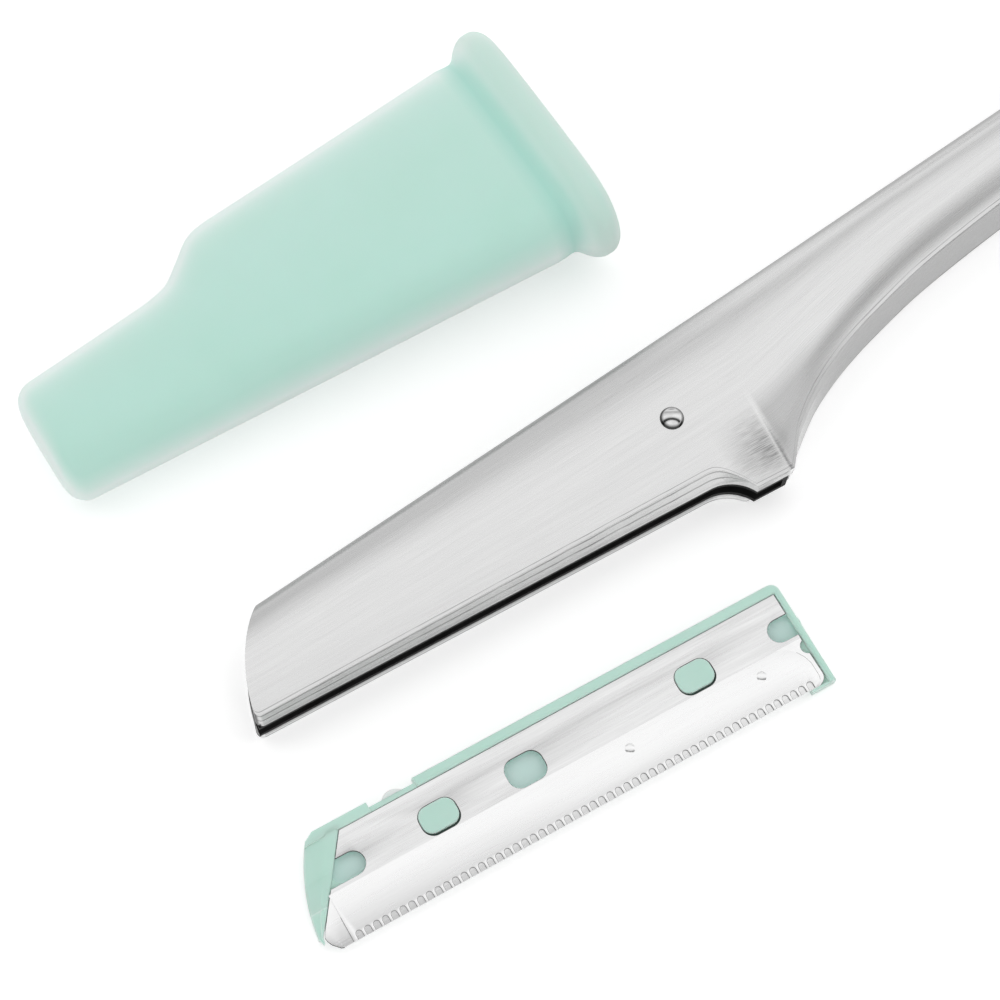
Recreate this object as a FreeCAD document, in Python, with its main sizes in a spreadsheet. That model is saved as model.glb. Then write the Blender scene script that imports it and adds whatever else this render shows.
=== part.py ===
"""Eyebrow razor: a slotted steel handle, a replaceable blade unit and a soft cap, laid out side by side.

The head's own frame has X along the slot from the tip to the heel, Y from the slot's mouth up to the
spine and Z out of the front cheek. The blade unit is drawn where it sits in the slot, and then drawn
back out of it along its slide. All sizes are in millimetres and degrees.
"""
import FreeCAD, Part
import math
import os

import Sketcher

DIMENSIONS = [
    # Handle outline
    ("handle_length", 148.0),
    ("slot_length", 48.3),
    ("tip_height", 8.95),
    ("spine_slope", 0.1175),
    ("tip_radius", 15.2),
    ("tip_centre_drop", 1.72),
    ("heel_radius", 3.64),
    ("chin_drop", 2.05),
    ("chin_length", 3.1),
    ("heel_wall", 0.35),
    ("neck_length", 19.65),
    ("neck_width", 9.1),
    ("neck_bulge", 1.8),
    ("grip_start", 95.0),
    ("grip_width", 8.1),
    ("grip_bulge", 0.24),
    ("butt_depth", 3.4),
    # Handle thickness
    ("tip_thickness", 4.7),
    ("heel_thickness", 5.54),
    ("neck_thickness", 6.2),
    ("grip_thickness", 6.4),
    ("butt_thickness", 7.0),
    ("tip_lip_thickness", 3.1),
    ("heel_lip_thickness", 3.6),
    ("underside_inset", 0.9),
    ("shoulder_depth", 1.7),
    ("shoulder_inset", 0.42),
    ("belly_lift", 1.6),
    ("lip_land", 0.08),
    ("lip_bevel_rise", 0.7),
    ("lip_bevel_run", 1.2),
    ("back_chin_drop", 1.0),
    # Slot, liner and pin
    ("slot_gap", 2.4),
    ("liner_wall", 0.5),
    ("liner_recess", 0.03),
    ("pin_diameter", 2.05),
    ("pin_clearance", 0.01),
    ("pin_length", 1.95),
    ("pin_dome", 0.8),
    ("pin_from_heel", 6.35),
    ("pin_above_lip", 6.5),
    # Blade unit
    ("unit_clearance", 0.1),
    ("blade_exposure", 1.8),
    ("unit_height", 9.3),
    ("unit_length", 46.5),
    ("plate_height", 7.1),
    ("rib_height", 0.85),
    ("end_strip", 0.6),
    ("tab_length", 2.2),
    ("tab_drop", 0.25),
    ("corner_radius", 0.8),
    ("plate_thickness", 0.75),
    ("blade_thickness", 0.25),
    ("guard_thickness", 0.1),
    ("blade_fit", 0.08),
    ("blade_slant_start", 5.57),
    ("blade_slant_end", 0.5),
    ("blade_corner", 1.45),
    ("edge_bevel_rise", 0.6),
    ("edge_bevel_depth", 0.18),
    ("notch_height", 2.0),
    ("left_notch_depth", 2.8),
    ("right_notch_depth", 2.2),
    ("hole_width", 3.34),
    ("hole_height", 2.54),
    ("hole_corner", 1.0),
    ("hole_above_edge", 5.5),
    ("first_hole", 12.98),
    ("second_hole", 20.85),
    ("third_hole_from_end", 9.9),
    ("stud_height", 0.35),
    ("nick_radius", 0.4),
    ("nick_above_edge", 2.8),
    ("snap_start", 8.5),
    ("snap_length", 4.1),
    ("snap_depth", 0.45),
    ("nub_length", 1.6),
    ("nub_height", 0.28),
    # Guard strip
    ("guard_start", 2.35),
    ("guard_height", 4.15),
    ("guard_corner", 2.0),
    ("arch_pitch", 0.78),
    ("arch_width", 0.56),
    ("arch_height", 0.68),
    ("arch_margin", 0.65),
    ("dimple_diameter", 0.7),
    ("dimple_height", 0.06),
    ("first_dimple_from_end", 17.55),
    ("second_dimple_from_end", 5.2),
    ("dimple_above_edge", 2.9),
    # Cap
    ("cap_length", 51.4),
    ("cap_keel", 0.5),
    ("cap_keel_slope", 0.0125),
    ("cap_nose_height", 11.7),
    ("cap_nose_slope", 0.13),
    ("cap_body_height", 15.4),
    ("cap_body_slope", 0.115),
    ("cap_step_start", 13.4),
    ("cap_step_length", 6.7),
    ("cap_nose_thickness", 7.6),
    ("cap_body_thickness", 8.4),
    ("cap_nose_round", 1.6),
    ("cap_wall", 1.05),
    ("rim_flare", 1.35),
    ("rim_length", 3.6),
    ("rim_roll", 1.2),
    # Layout on the table
    ("slot_rest_height", 2.38),
    ("roll_angle", 5.2),
    ("unit_draw_along", 3.9),
    ("unit_draw_out", 16.65),
    ("cap_along", -4.2),
    ("cap_aside", 24.2),
]

# The cap's spine climbs its step slowly and turns level again quickly: share of the run, share of the rise
CAP_STEP_CURVE = [(0.0, 0.0), (0.3, 0.1), (0.6, 0.48), (0.85, 0.85), (1.0, 1.0)]
# The rolled rim: share of the rim's length, share of its flare
CAP_RIM_CURVE = [(0.0, 0.0), (0.3, 0.14), (0.55, 0.58), (0.8, 1.0), (1.0, 0.72)]
# The cap's rounded nose: share of the rounding's length, share of its inset
CAP_NOSE_CURVE = [(0.0, 1.0), (0.3, 0.4), (1.0, 0.0)]

doc = FreeCAD.newDocument("EyebrowRazor")
sheet = doc.addObject("Spreadsheet::Sheet", "Dimensions")


def set_cell(row, alias, value):
    sheet.set(f"A{row}", alias)
    sheet.set(f"B{row}", str(value))
    sheet.setAlias(f"B{row}", alias)


for row, (alias, value) in enumerate(DIMENSIONS, start=1):
    set_cell(row, alias, value)
SHIFTS = ("shift_x", "shift_y", "shift_z")
SHIFT_ROW = len(DIMENSIONS) + 1
for offset, alias in enumerate(SHIFTS):
    set_cell(SHIFT_ROW + offset, alias, 0.0)
doc.recompute()


class Size:
    """A length held as a number for the first drawing and as the text of an expression on the sheet."""

    def __init__(self, value, text):
        self.value = value
        self.text = text

    def __add__(self, other):
        other = as_size(other)
        return Size(self.value + other.value, f"({self.text} + {other.text})")

    def __radd__(self, other):
        return as_size(other) + self

    def __sub__(self, other):
        other = as_size(other)
        return Size(self.value - other.value, f"({self.text} - {other.text})")

    def __rsub__(self, other):
        return as_size(other) - self

    def __mul__(self, other):
        other = as_size(other)
        return Size(self.value * other.value, f"({self.text} * {other.text})")

    def __rmul__(self, other):
        return as_size(other) * self

    def __truediv__(self, other):
        other = as_size(other)
        return Size(self.value / other.value, f"({self.text} / {other.text})")

    def __neg__(self):
        return 0 - self


def as_size(item):
    if isinstance(item, Size):
        return item
    return Size(float(item), f"({item})")


def cell(alias):
    return Size(float(sheet.get(alias)), f"Dimensions.{alias}")


def root(size):
    return Size(math.sqrt(size.value), f"sqrt({size.text})")


def cosine(angle):
    return Size(math.cos(math.radians(angle.value)), f"cos({angle.text} * 1 deg)")


def sine(angle):
    return Size(math.sin(math.radians(angle.value)), f"sin({angle.text} * 1 deg)")


def vector(point):
    return FreeCAD.Vector(as_size(point[0]).value, as_size(point[1]).value, 0)


def new_sketch(body, role, name, height=0):
    """A sketch on one of the body's own planes, lifted along the plane's normal."""
    plane = [item for item in body.Origin.OriginFeatures if item.Role == role][0]
    sketch = body.newObject("Sketcher::SketchObject", name)
    sketch.AttachmentSupport = [(plane, "")]
    sketch.MapMode = "FlatFace"
    sketch.setExpression("AttachmentOffset.Base.z", as_size(height).text)
    return sketch


def pin_point(sketch, geometry, position, point):
    """Hold one point of the sketch at its place from the origin."""
    for kind, size in (("DistanceX", as_size(point[0])), ("DistanceY", as_size(point[1]))):
        index = sketch.addConstraint(Sketcher.Constraint(kind, -1, 1, geometry, position, size.value))
        sketch.setExpression(f"Constraints[{index}]", size.text)


def add_arc(sketch, start, middle, end):
    """An arc, always drawn anticlockwise, with the numbers of its points at start and at end."""
    first, last = vector(middle) - vector(start), vector(end) - vector(middle)
    if first.x * last.y - first.y * last.x > 0:
        return sketch.addGeometry(Part.Arc(vector(start), vector(middle), vector(end))), 1, 2
    return sketch.addGeometry(Part.Arc(vector(end), vector(middle), vector(start))), 2, 1


def hold_arc(sketch, arc, middle):
    """Keep an arc on a point that is held in its place."""
    mark = sketch.addGeometry(Part.Point(vector(middle)), True)
    pin_point(sketch, mark, 1, middle)
    sketch.addConstraint(Sketcher.Constraint("PointOnObject", mark, 1, arc))


def draw_loop(sketch, corners, through=None):
    """A closed outline. A side that starts at corner i is an arc where through[i] gives a point on it."""
    through = through or {}
    sides = []
    for index, start in enumerate(corners):
        end = corners[(index + 1) % len(corners)]
        if index not in through:
            sides.append((sketch.addGeometry(Part.LineSegment(vector(start), vector(end))), 1, 2))
            continue
        sides.append(add_arc(sketch, start, through[index], end))
    for index, (side, start_at, _) in enumerate(sides):
        before, _, before_end = sides[index - 1]
        sketch.addConstraint(Sketcher.Constraint("Coincident", before, before_end, side, start_at))
        pin_point(sketch, side, start_at, corners[index])
    for index, middle in through.items():
        hold_arc(sketch, sides[index][0], middle)


def draw_circle(sketch, centre, radius):
    ring = sketch.addGeometry(Part.Circle(vector(centre), FreeCAD.Vector(0, 0, 1), radius.value))
    pin_point(sketch, ring, 3, centre)
    index = sketch.addConstraint(Sketcher.Constraint("Radius", ring, radius.value))
    sketch.setExpression(f"Constraints[{index}]", radius.text)


def draw_rounded_box(sketch, centre, width, height, corner):
    """A rectangle with round corners, the shape of the blade's holes and of the studs in them."""
    x, y = as_size(centre[0]), as_size(centre[1])
    half_x, half_y = width / 2, height / 2
    bulge = corner * (1 - math.sqrt(0.5))
    corners = []
    through = {}
    for side_x, side_y, along_first in ((1, -1, True), (1, 1, False), (-1, 1, True), (-1, -1, False)):
        outer_x, outer_y = x + half_x * side_x, y + half_y * side_y
        on_x = (outer_x - corner * side_x, outer_y)
        on_y = (outer_x, outer_y - corner * side_y)
        first, last = (on_x, on_y) if along_first else (on_y, on_x)
        through[len(corners)] = (outer_x - bulge * side_x, outer_y - bulge * side_y)
        corners += [first, last]
    draw_loop(sketch, corners, through)


def new_body(label):
    body = doc.addObject("PartDesign::Body", label)
    body.Label = label
    return body


def pad(body, sketch, name, length, symmetric=False):
    feature = body.newObject("PartDesign::Pad", name)
    feature.Profile = sketch
    feature.SideType = "Symmetric" if symmetric else "One side"
    feature.setExpression("Length", as_size(length).text)
    return feature


def pocket(body, sketch, name, length=None, upwards=False, downwards=False):
    """A cut both ways from the sketch, or one way only, as deep as length or right through."""
    feature = body.newObject("PartDesign::Pocket", name)
    feature.Profile = sketch
    feature.SideType = "One side" if upwards or downwards else "Symmetric"
    feature.Reversed = upwards
    if length is None:
        feature.Type = "ThroughAll"
    else:
        feature.setExpression("Length", as_size(length).text)
    return feature


def loft(body, kind, name, sketches):
    feature = body.newObject(kind, name)
    feature.Profile = sketches[0]
    feature.Sections = sketches[1:]
    feature.Ruled = True
    return feature


def place(body, axis, angle, base):
    """Turn a body about one axis and set it in the layout."""
    body.Placement = FreeCAD.Placement(FreeCAD.Vector(), FreeCAD.Rotation(FreeCAD.Vector(*axis), 1.0))
    body.setExpression("Placement.Rotation.Angle", f"{angle.text} * 1 deg")
    for name, size, alias in zip("xyz", base, SHIFTS):
        body.setExpression(f"Placement.Base.{name}", (as_size(size) + cell(alias)).text)


# The head's outline, shared by the handle, its liner and the blade unit
SLOT_LENGTH = cell("slot_length")
CHIN_DROP = cell("chin_drop")
TIP_RADIUS = cell("tip_radius")
TIP_DROP = cell("tip_centre_drop")
HEEL_RADIUS = cell("heel_radius")
CHIN_END = SLOT_LENGTH + cell("heel_wall")
CHIN_START = SLOT_LENGTH - cell("chin_length")
HEEL_START = CHIN_START - root(2 * HEEL_RADIUS * CHIN_DROP - CHIN_DROP * CHIN_DROP)


def spine_at(x):
    return cell("tip_height") + cell("spine_slope") * x


def tip_at(y):
    """How far along the slot the rounded tip lies at a height above the mouth."""
    rise = y + TIP_DROP
    return root(TIP_RADIUS * TIP_RADIUS - TIP_DROP * TIP_DROP) - root(TIP_RADIUS * TIP_RADIUS - rise * rise)


def heel_at(x):
    """The height of the lip where it curves down into the chin."""
    run = x - HEEL_START
    return root(HEEL_RADIUS * HEEL_RADIUS - run * run) - HEEL_RADIUS


def bulged(start, end, bulge):
    """A point above the middle of the way from start to end."""
    return (start[0] + end[0]) / 2, (start[1] + end[1]) / 2 + bulge


# Heights across the slot, from the plane midway between its cheeks
SLOT_GAP = cell("slot_gap")
LINER_WALL = cell("liner_wall")
UNIT_CLEARANCE = cell("unit_clearance")
UNIT_HALF = SLOT_GAP / 2 - LINER_WALL - UNIT_CLEARANCE
PLATE_TOP = cell("plate_thickness") - UNIT_HALF
BLADE_TOP = PLATE_TOP + cell("blade_thickness")

# Heights above the mouth for the blade unit where it sits
EDGE = -cell("blade_exposure")
UNIT_TOP = EDGE + cell("unit_height")
UNIT_END = cell("unit_length")
BLADE_FIT = cell("blade_fit")
BLADE_UPPER = UNIT_TOP - cell("rib_height") - BLADE_FIT
BLADE_END = UNIT_END - cell("end_strip") - BLADE_FIT
PLATE_LOWER = UNIT_TOP - cell("plate_height")
SLOT_FLOOR = UNIT_TOP + UNIT_CLEARANCE + LINER_WALL
HOLE_HEIGHT = EDGE + cell("hole_above_edge")
HOLE_PLACES = {"first": cell("first_hole"), "second": cell("second_hole"),
               "third": UNIT_END - cell("third_hole_from_end")}
PIN_PLACE = (SLOT_LENGTH - cell("pin_from_heel"), cell("pin_above_lip"))
# How far cuts and blanks run past the shape they make, so that they leave no skin
BEYOND = 6
MARGIN = 1


def blade_left(y):
    """The blade's slanted left end at a height above the mouth."""
    low = EDGE + cell("blade_corner")
    run = cell("blade_slant_start") - cell("blade_slant_end")
    return cell("blade_slant_end") + run * (y - low) / (BLADE_UPPER - low)


def handle_section(body, name, x, foot, spine, foot_half, thickness):
    """One cross-section of the handle's blank: a flat foot, two convex cheeks and a rounded spine."""
    sketch = new_sketch(body, "YZ_Plane", name, x)
    shoulder = spine - cell("shoulder_depth")
    shoulder_half = thickness / 2 - cell("shoulder_inset")
    belly = (foot + shoulder) / 2 + cell("belly_lift")
    corners = [(foot, -foot_half), (foot, foot_half), (shoulder, shoulder_half), (shoulder, -shoulder_half)]
    through = {1: (belly, thickness / 2), 2: (spine, 0), 3: (belly, -thickness / 2)}
    draw_loop(sketch, corners, through)
    return sketch


def make_handle_body():
    body = new_body("handle_body")
    length = cell("handle_length")
    neck_end = CHIN_END + cell("neck_length")
    neck_low = spine_at(neck_end) - cell("neck_width")
    grip_start = cell("grip_start")
    grip_width = cell("grip_width")
    head_foot = -CHIN_DROP - MARGIN
    inset = cell("underside_inset")

    stations = [
        ("tip", as_size(-MARGIN), head_foot, cell("tip_lip_thickness") / 2, cell("tip_thickness")),
        ("heel", CHIN_END, head_foot, cell("heel_lip_thickness") / 2, cell("heel_thickness")),
        ("neck", neck_end, neck_low - MARGIN, cell("neck_thickness") / 2 - inset, cell("neck_thickness")),
        ("grip", grip_start, spine_at(grip_start) - grip_width - MARGIN,
         cell("grip_thickness") / 2 - inset, cell("grip_thickness")),
        ("butt", length + MARGIN, spine_at(length) - grip_width - MARGIN,
         cell("butt_thickness") / 2 - inset, cell("butt_thickness")),
    ]
    sections = [handle_section(body, f"handle_{name}_section", x, foot, spine_at(x), foot_half, thickness)
                for name, x, foot, foot_half, thickness in stations]
    loft(body, "PartDesign::AdditiveLoft", "handle_blank", sections)

    # The side outline: everything between it and a box round the blank is cut away
    outline = new_sketch(body, "XY_Plane", "handle_outline")
    low_x, high_x = as_size(-BEYOND), length + BEYOND
    above = spine_at(length) + BEYOND
    low_y, high_y = head_foot - BEYOND, above + BEYOND
    draw_loop(outline, [(low_x, low_y), (high_x, low_y), (high_x, high_y), (low_x, high_y)])
    tip_top = cell("tip_height") + MARGIN
    butt_x = length - cell("butt_depth")
    mouth_start = (as_size(0), as_size(0))
    heel_start = (HEEL_START, as_size(0))
    chin_start = (CHIN_START, -CHIN_DROP)
    chin_end = (CHIN_END, -CHIN_DROP)
    neck_point = (neck_end, neck_low)
    grip_point = (grip_start, spine_at(grip_start) - grip_width)
    butt_low = (butt_x, spine_at(butt_x) - grip_width)
    butt_high = (butt_x, spine_at(butt_x))
    heel_middle_x = (HEEL_START + CHIN_START) / 2
    corners = [mouth_start, heel_start, chin_start, chin_end, neck_point, grip_point, butt_low, butt_high,
               (butt_x, above), (tip_at(tip_top), above), (tip_at(tip_top), tip_top)]
    through = {1: (heel_middle_x, heel_at(heel_middle_x)),
               3: bulged(chin_end, neck_point, cell("neck_bulge")),
               4: bulged(neck_point, grip_point, cell("grip_bulge")),
               6: (length, spine_at(butt_x) - grip_width / 2),
               10: (tip_at(tip_top / 2), tip_top / 2)}
    draw_loop(outline, corners, through)
    pocket(body, outline, "handle_trim")

    # The slot, open at the mouth and at the tip
    slot = new_sketch(body, "XY_Plane", "slot_outline")
    draw_loop(slot, [(-BEYOND, head_foot), (SLOT_LENGTH, head_foot), (SLOT_LENGTH, SLOT_FLOOR),
                     (-BEYOND, SLOT_FLOOR)])
    pocket(body, slot, "slot_cut", SLOT_GAP)

    # The ground bevel along the front lip, down round the heel
    path = new_sketch(body, "XY_Plane", "lip_path")
    straight = path.addGeometry(Part.LineSegment(FreeCAD.Vector(-MARGIN, 0, 0), vector(heel_start)))
    middle = (heel_middle_x, heel_at(heel_middle_x))
    curve, curve_start, curve_end = add_arc(path, heel_start, middle, chin_start)
    pin_point(path, straight, 1, (-MARGIN, 0))
    pin_point(path, straight, 2, heel_start)
    path.addConstraint(Sketcher.Constraint("Coincident", straight, 2, curve, curve_start))
    pin_point(path, curve, curve_end, chin_start)
    hold_arc(path, curve, middle)
    wedge = new_sketch(body, "YZ_Plane", "lip_wedge", -MARGIN)
    land = SLOT_GAP / 2 + cell("lip_land")
    rise, run = cell("lip_bevel_rise"), cell("lip_bevel_run")
    draw_loop(wedge, [(-rise, land - run), (rise + rise, land + run + run), (-rise, land + run + run)])
    bevel = body.newObject("PartDesign::SubtractivePipe", "lip_bevel")
    bevel.Profile = wedge
    bevel.Spine = path

    # The back cheek's chin is cut shorter than the front one's
    relief = new_sketch(body, "XY_Plane", "back_chin_outline", -SLOT_GAP / 2)
    relief_top = -cell("back_chin_drop")
    draw_loop(relief, [(HEEL_START, head_foot), (CHIN_END + MARGIN, head_foot),
                       (CHIN_END + MARGIN, relief_top), (HEEL_START, relief_top)])
    pocket(body, relief, "back_chin_cut", downwards=True)

    hole = new_sketch(body, "XY_Plane", "pin_hole_outline")
    draw_circle(hole, PIN_PLACE, cell("pin_diameter") / 2 + cell("pin_clearance"))
    pocket(body, hole, "pin_hole", upwards=True)
    return body


def make_slot_liner():
    body = new_body("slot_liner")
    recess = cell("liner_recess")
    lower = -CHIN_DROP + recess
    outline = new_sketch(body, "XY_Plane", "liner_outline")
    corner_x = CHIN_START + recess
    heel_middle_x = (HEEL_START + CHIN_START) / 2
    middle_y = SLOT_FLOOR / 2
    corners = [(tip_at(recess) + recess, recess), (HEEL_START, recess), (corner_x, lower),
               (SLOT_LENGTH, lower), (SLOT_LENGTH, SLOT_FLOOR), (tip_at(SLOT_FLOOR) + recess, SLOT_FLOOR)]
    through = {1: (heel_middle_x + recess / 2, heel_at(heel_middle_x) + recess),
               5: (tip_at(middle_y) + recess, middle_y)}
    draw_loop(outline, corners, through)
    pad(body, outline, "liner_block", SLOT_GAP, symmetric=True)

    channel = new_sketch(body, "XY_Plane", "liner_channel_outline")
    floor, end = SLOT_FLOOR - LINER_WALL, SLOT_LENGTH - LINER_WALL
    below = lower - MARGIN
    draw_loop(channel, [(-MARGIN, below), (end, below), (end, floor), (-MARGIN, floor)])
    pocket(body, channel, "liner_channel", SLOT_GAP - LINER_WALL * 2)

    hole = new_sketch(body, "XY_Plane", "liner_hole_outline")
    draw_circle(hole, PIN_PLACE, cell("pin_diameter") / 2 + cell("pin_clearance"))
    pocket(body, hole, "liner_hole", upwards=True)
    return body


def make_liner_pin():
    """A round pin through the front cheek and the liner, with a dome that stands out of the cheek."""
    body = new_body("liner_pin")
    radius = cell("pin_diameter") / 2
    inner = SLOT_GAP / 2 - LINER_WALL
    shoulder = inner + cell("pin_length")
    top = shoulder + cell("pin_dome")
    sphere = (radius * radius + cell("pin_dome") * cell("pin_dome")) / (2 * cell("pin_dome"))
    outline = new_sketch(body, "XZ_Plane", "pin_outline")
    corners = [(0, inner), (radius, inner), (radius, shoulder), (0, top)]
    half = radius / 2
    through = {2: (half, top - sphere + root(sphere * sphere - half * half))}
    draw_loop(outline, corners, through)
    turn = body.newObject("PartDesign::Revolution", "pin_turn")
    turn.Profile = outline
    turn.ReferenceAxis = (outline, ["V_Axis"])
    return body


def make_blade_holder():
    body = new_body("blade_holder")
    gap = UNIT_CLEARANCE
    corner = cell("corner_radius")
    edge_y = UNIT_TOP - corner
    bulge = corner * (1 - math.sqrt(0.5))
    tab_lower = EDGE - cell("tab_drop")
    wall_lower = EDGE + cell("blade_corner")
    wall_upper = UNIT_TOP - corner / 2
    wall_middle = (wall_lower + wall_upper) / 2
    tip_points = [(tip_at(wall_upper) + gap, wall_upper), (tip_at(wall_lower) + gap, wall_lower)]
    tip_through = (tip_at(wall_middle) + gap, wall_middle)
    top_left = (tip_at(wall_upper) + gap + corner, UNIT_TOP)
    top_right = (UNIT_END - corner, UNIT_TOP)
    right_upper = (UNIT_END, edge_y)
    right_through = (UNIT_END - bulge, UNIT_TOP - bulge)

    plate = new_sketch(body, "XY_Plane", "plate_outline", -UNIT_HALF)
    tab_x = UNIT_END - cell("tab_length")
    corners = [tip_points[0], tip_points[1], (blade_left(PLATE_LOWER), PLATE_LOWER), (tab_x, PLATE_LOWER),
               (tab_x, tab_lower), (UNIT_END, tab_lower), right_upper, top_right, top_left]
    draw_loop(plate, corners, {0: tip_through, 6: right_through})
    pad(body, plate, "plate", cell("plate_thickness"))

    # The raised frame: left end wall, spine rib and right end strip
    frame = new_sketch(body, "XY_Plane", "frame_outline", PLATE_TOP)
    rib_lower = UNIT_TOP - cell("rib_height")
    strip_x = UNIT_END - cell("end_strip")
    corners = [tip_points[0], tip_points[1], (blade_left(wall_lower) - BLADE_FIT, wall_lower),
               (blade_left(rib_lower) - BLADE_FIT, rib_lower), (strip_x, rib_lower), (strip_x, tab_lower),
               (UNIT_END, tab_lower), right_upper, top_right, top_left]
    draw_loop(frame, corners, {0: tip_through, 7: right_through})
    pad(body, frame, "frame", UNIT_HALF - PLATE_TOP)

    for order in ("first", "third"):
        stud = new_sketch(body, "XY_Plane", f"{order}_stud_outline", PLATE_TOP)
        draw_rounded_box(stud, (HOLE_PLACES[order], HOLE_HEIGHT), cell("hole_width") - BLADE_FIT * 2,
                         cell("hole_height") - BLADE_FIT * 2, cell("hole_corner") - BLADE_FIT)
        pad(body, stud, f"{order}_stud", cell("stud_height"))

    # The snap: a shallow recess in the spine with a small nub in it
    snap_start = cell("snap_start")
    snap_end = snap_start + cell("snap_length")
    snap_floor = UNIT_TOP - cell("snap_depth")
    snap = new_sketch(body, "XY_Plane", "snap_outline")
    draw_loop(snap, [(snap_start, snap_floor), (snap_end, snap_floor), (snap_end, UNIT_TOP + MARGIN),
                     (snap_start, UNIT_TOP + MARGIN)])
    pocket(body, snap, "snap_recess")
    nub = new_sketch(body, "XY_Plane", "nub_outline")
    nub_x = snap_start + cell("snap_length") / 2
    nub_half = cell("nub_length") / 2
    draw_loop(nub, [(nub_x - nub_half, snap_floor), (nub_x + nub_half, snap_floor)],
              {1: (nub_x, snap_floor + cell("nub_height"))})
    pad(body, nub, "snap_nub", UNIT_HALF, symmetric=True)
    return body


def make_blade():
    body = new_body("blade")
    outline = new_sketch(body, "XY_Plane", "blade_outline", PLATE_TOP)
    notch_half = cell("notch_height") / 2
    notch_low, notch_high = HOLE_HEIGHT - notch_half, HOLE_HEIGHT + notch_half
    left_end = blade_left(HOLE_HEIGHT) + cell("left_notch_depth") - notch_half
    right_end = BLADE_END - cell("right_notch_depth") + notch_half
    nick = cell("nick_radius")
    nick_y = EDGE + cell("nick_above_edge")
    corner = cell("corner_radius")
    bulge = corner * (1 - math.sqrt(0.5))
    slant_low = EDGE + cell("blade_corner")
    corners = [
        (cell("blade_slant_start"), BLADE_UPPER),
        (blade_left(notch_high), notch_high),
        (left_end, notch_high),
        (left_end, notch_low),
        (blade_left(notch_low), notch_low),
        (cell("blade_slant_end"), slant_low),
        (cell("blade_slant_end") + corner, EDGE),
        (BLADE_END - corner, EDGE),
        (BLADE_END, EDGE + corner),
        (BLADE_END, nick_y - nick),
        (BLADE_END, nick_y + nick),
        (BLADE_END, notch_low),
        (right_end, notch_low),
        (right_end, notch_high),
        (BLADE_END, notch_high),
        (BLADE_END, BLADE_UPPER),
    ]
    through = {2: (left_end + notch_half, HOLE_HEIGHT),
               7: (BLADE_END - bulge, EDGE + bulge),
               9: (BLADE_END - nick, nick_y),
               12: (right_end - notch_half, HOLE_HEIGHT)}
    draw_loop(outline, corners, through)
    pad(body, outline, "blade_plate", cell("blade_thickness"))
    for order, place_x in HOLE_PLACES.items():
        hole = new_sketch(body, "XY_Plane", f"{order}_hole_outline")
        draw_rounded_box(hole, (place_x, HOLE_HEIGHT), cell("hole_width"), cell("hole_height"),
                         cell("hole_corner"))
        pocket(body, hole, f"{order}_hole_cut")

    grind = new_sketch(body, "YZ_Plane", "edge_outline")
    rise, depth = cell("edge_bevel_rise"), cell("edge_bevel_depth")
    draw_loop(grind, [(EDGE - rise, BLADE_TOP - depth - depth), (EDGE + rise, BLADE_TOP),
                      (EDGE + rise, BLADE_TOP + depth), (EDGE - rise, BLADE_TOP + depth)])
    pocket(body, grind, "edge_bevel")
    return body


def make_guard_strip():
    body = new_body("guard_strip")
    outline = new_sketch(body, "XY_Plane", "guard_outline", BLADE_TOP)
    start = cell("guard_start")
    upper = EDGE + cell("guard_height")
    cut = cell("guard_corner")
    corner = cell("corner_radius")
    end = BLADE_END - cell("nick_radius")
    draw_loop(outline, [(start, EDGE), (end - corner, EDGE), (end, EDGE + corner), (end, upper - cut / 2),
                        (end - cut, upper), (start, upper)])
    pad(body, outline, "guard_plate", cell("guard_thickness"))

    arch = new_sketch(body, "XY_Plane", "arch_outline")
    half = cell("arch_width") / 2
    margin = cell("arch_margin")
    middle = start + margin
    spaces = (end - start - margin * 2) / cell("arch_pitch")
    crown = EDGE + cell("arch_height")
    draw_loop(arch, [(middle - half, EDGE - MARGIN), (middle + half, EDGE - MARGIN),
                     (middle + half, crown - half), (middle - half, crown - half)], {2: (middle, crown)})
    cut_arch = pocket(body, arch, "arch_cut")
    doc.recompute()
    row = body.newObject("PartDesign::LinearPattern", "arch_row")
    row.Originals = [cut_arch]
    row.Direction = (arch, ["H_Axis"])
    row.Mode = "Spacing"
    row.setExpression("Offset", cell("arch_pitch").text)
    row.setExpression("Occurrences", f"floor({spaces.text}) + 1")
    body.Tip = row

    dimples = new_sketch(body, "XY_Plane", "dimple_outline", BLADE_TOP + cell("guard_thickness"))
    for order in ("first", "second"):
        centre = (UNIT_END - cell(f"{order}_dimple_from_end"), EDGE + cell("dimple_above_edge"))
        draw_circle(dimples, centre, cell("dimple_diameter") / 2)
    body.Tip = pad(body, dimples, "dimples", cell("dimple_height"))
    return body


def cap_section(body, name, x, step_share, thickness, out):
    """A cross-section of the cap: two flat sides joined by half rounds, standing out all round."""
    sketch = new_sketch(body, "YZ_Plane", name, x)
    nose_top = cell("cap_nose_height") + cell("cap_nose_slope") * x
    body_top = cell("cap_body_height") + cell("cap_body_slope") * x
    low = cell("cap_keel") - cell("cap_keel_slope") * x - out
    high = nose_top + (body_top - nose_top) * step_share + out
    half = thickness / 2 + out
    corners = [(low + half, half), (low + half, -half), (high - half, -half), (high - half, half)]
    draw_loop(sketch, corners, {0: (low, 0), 2: (high, 0)})
    return sketch


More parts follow.
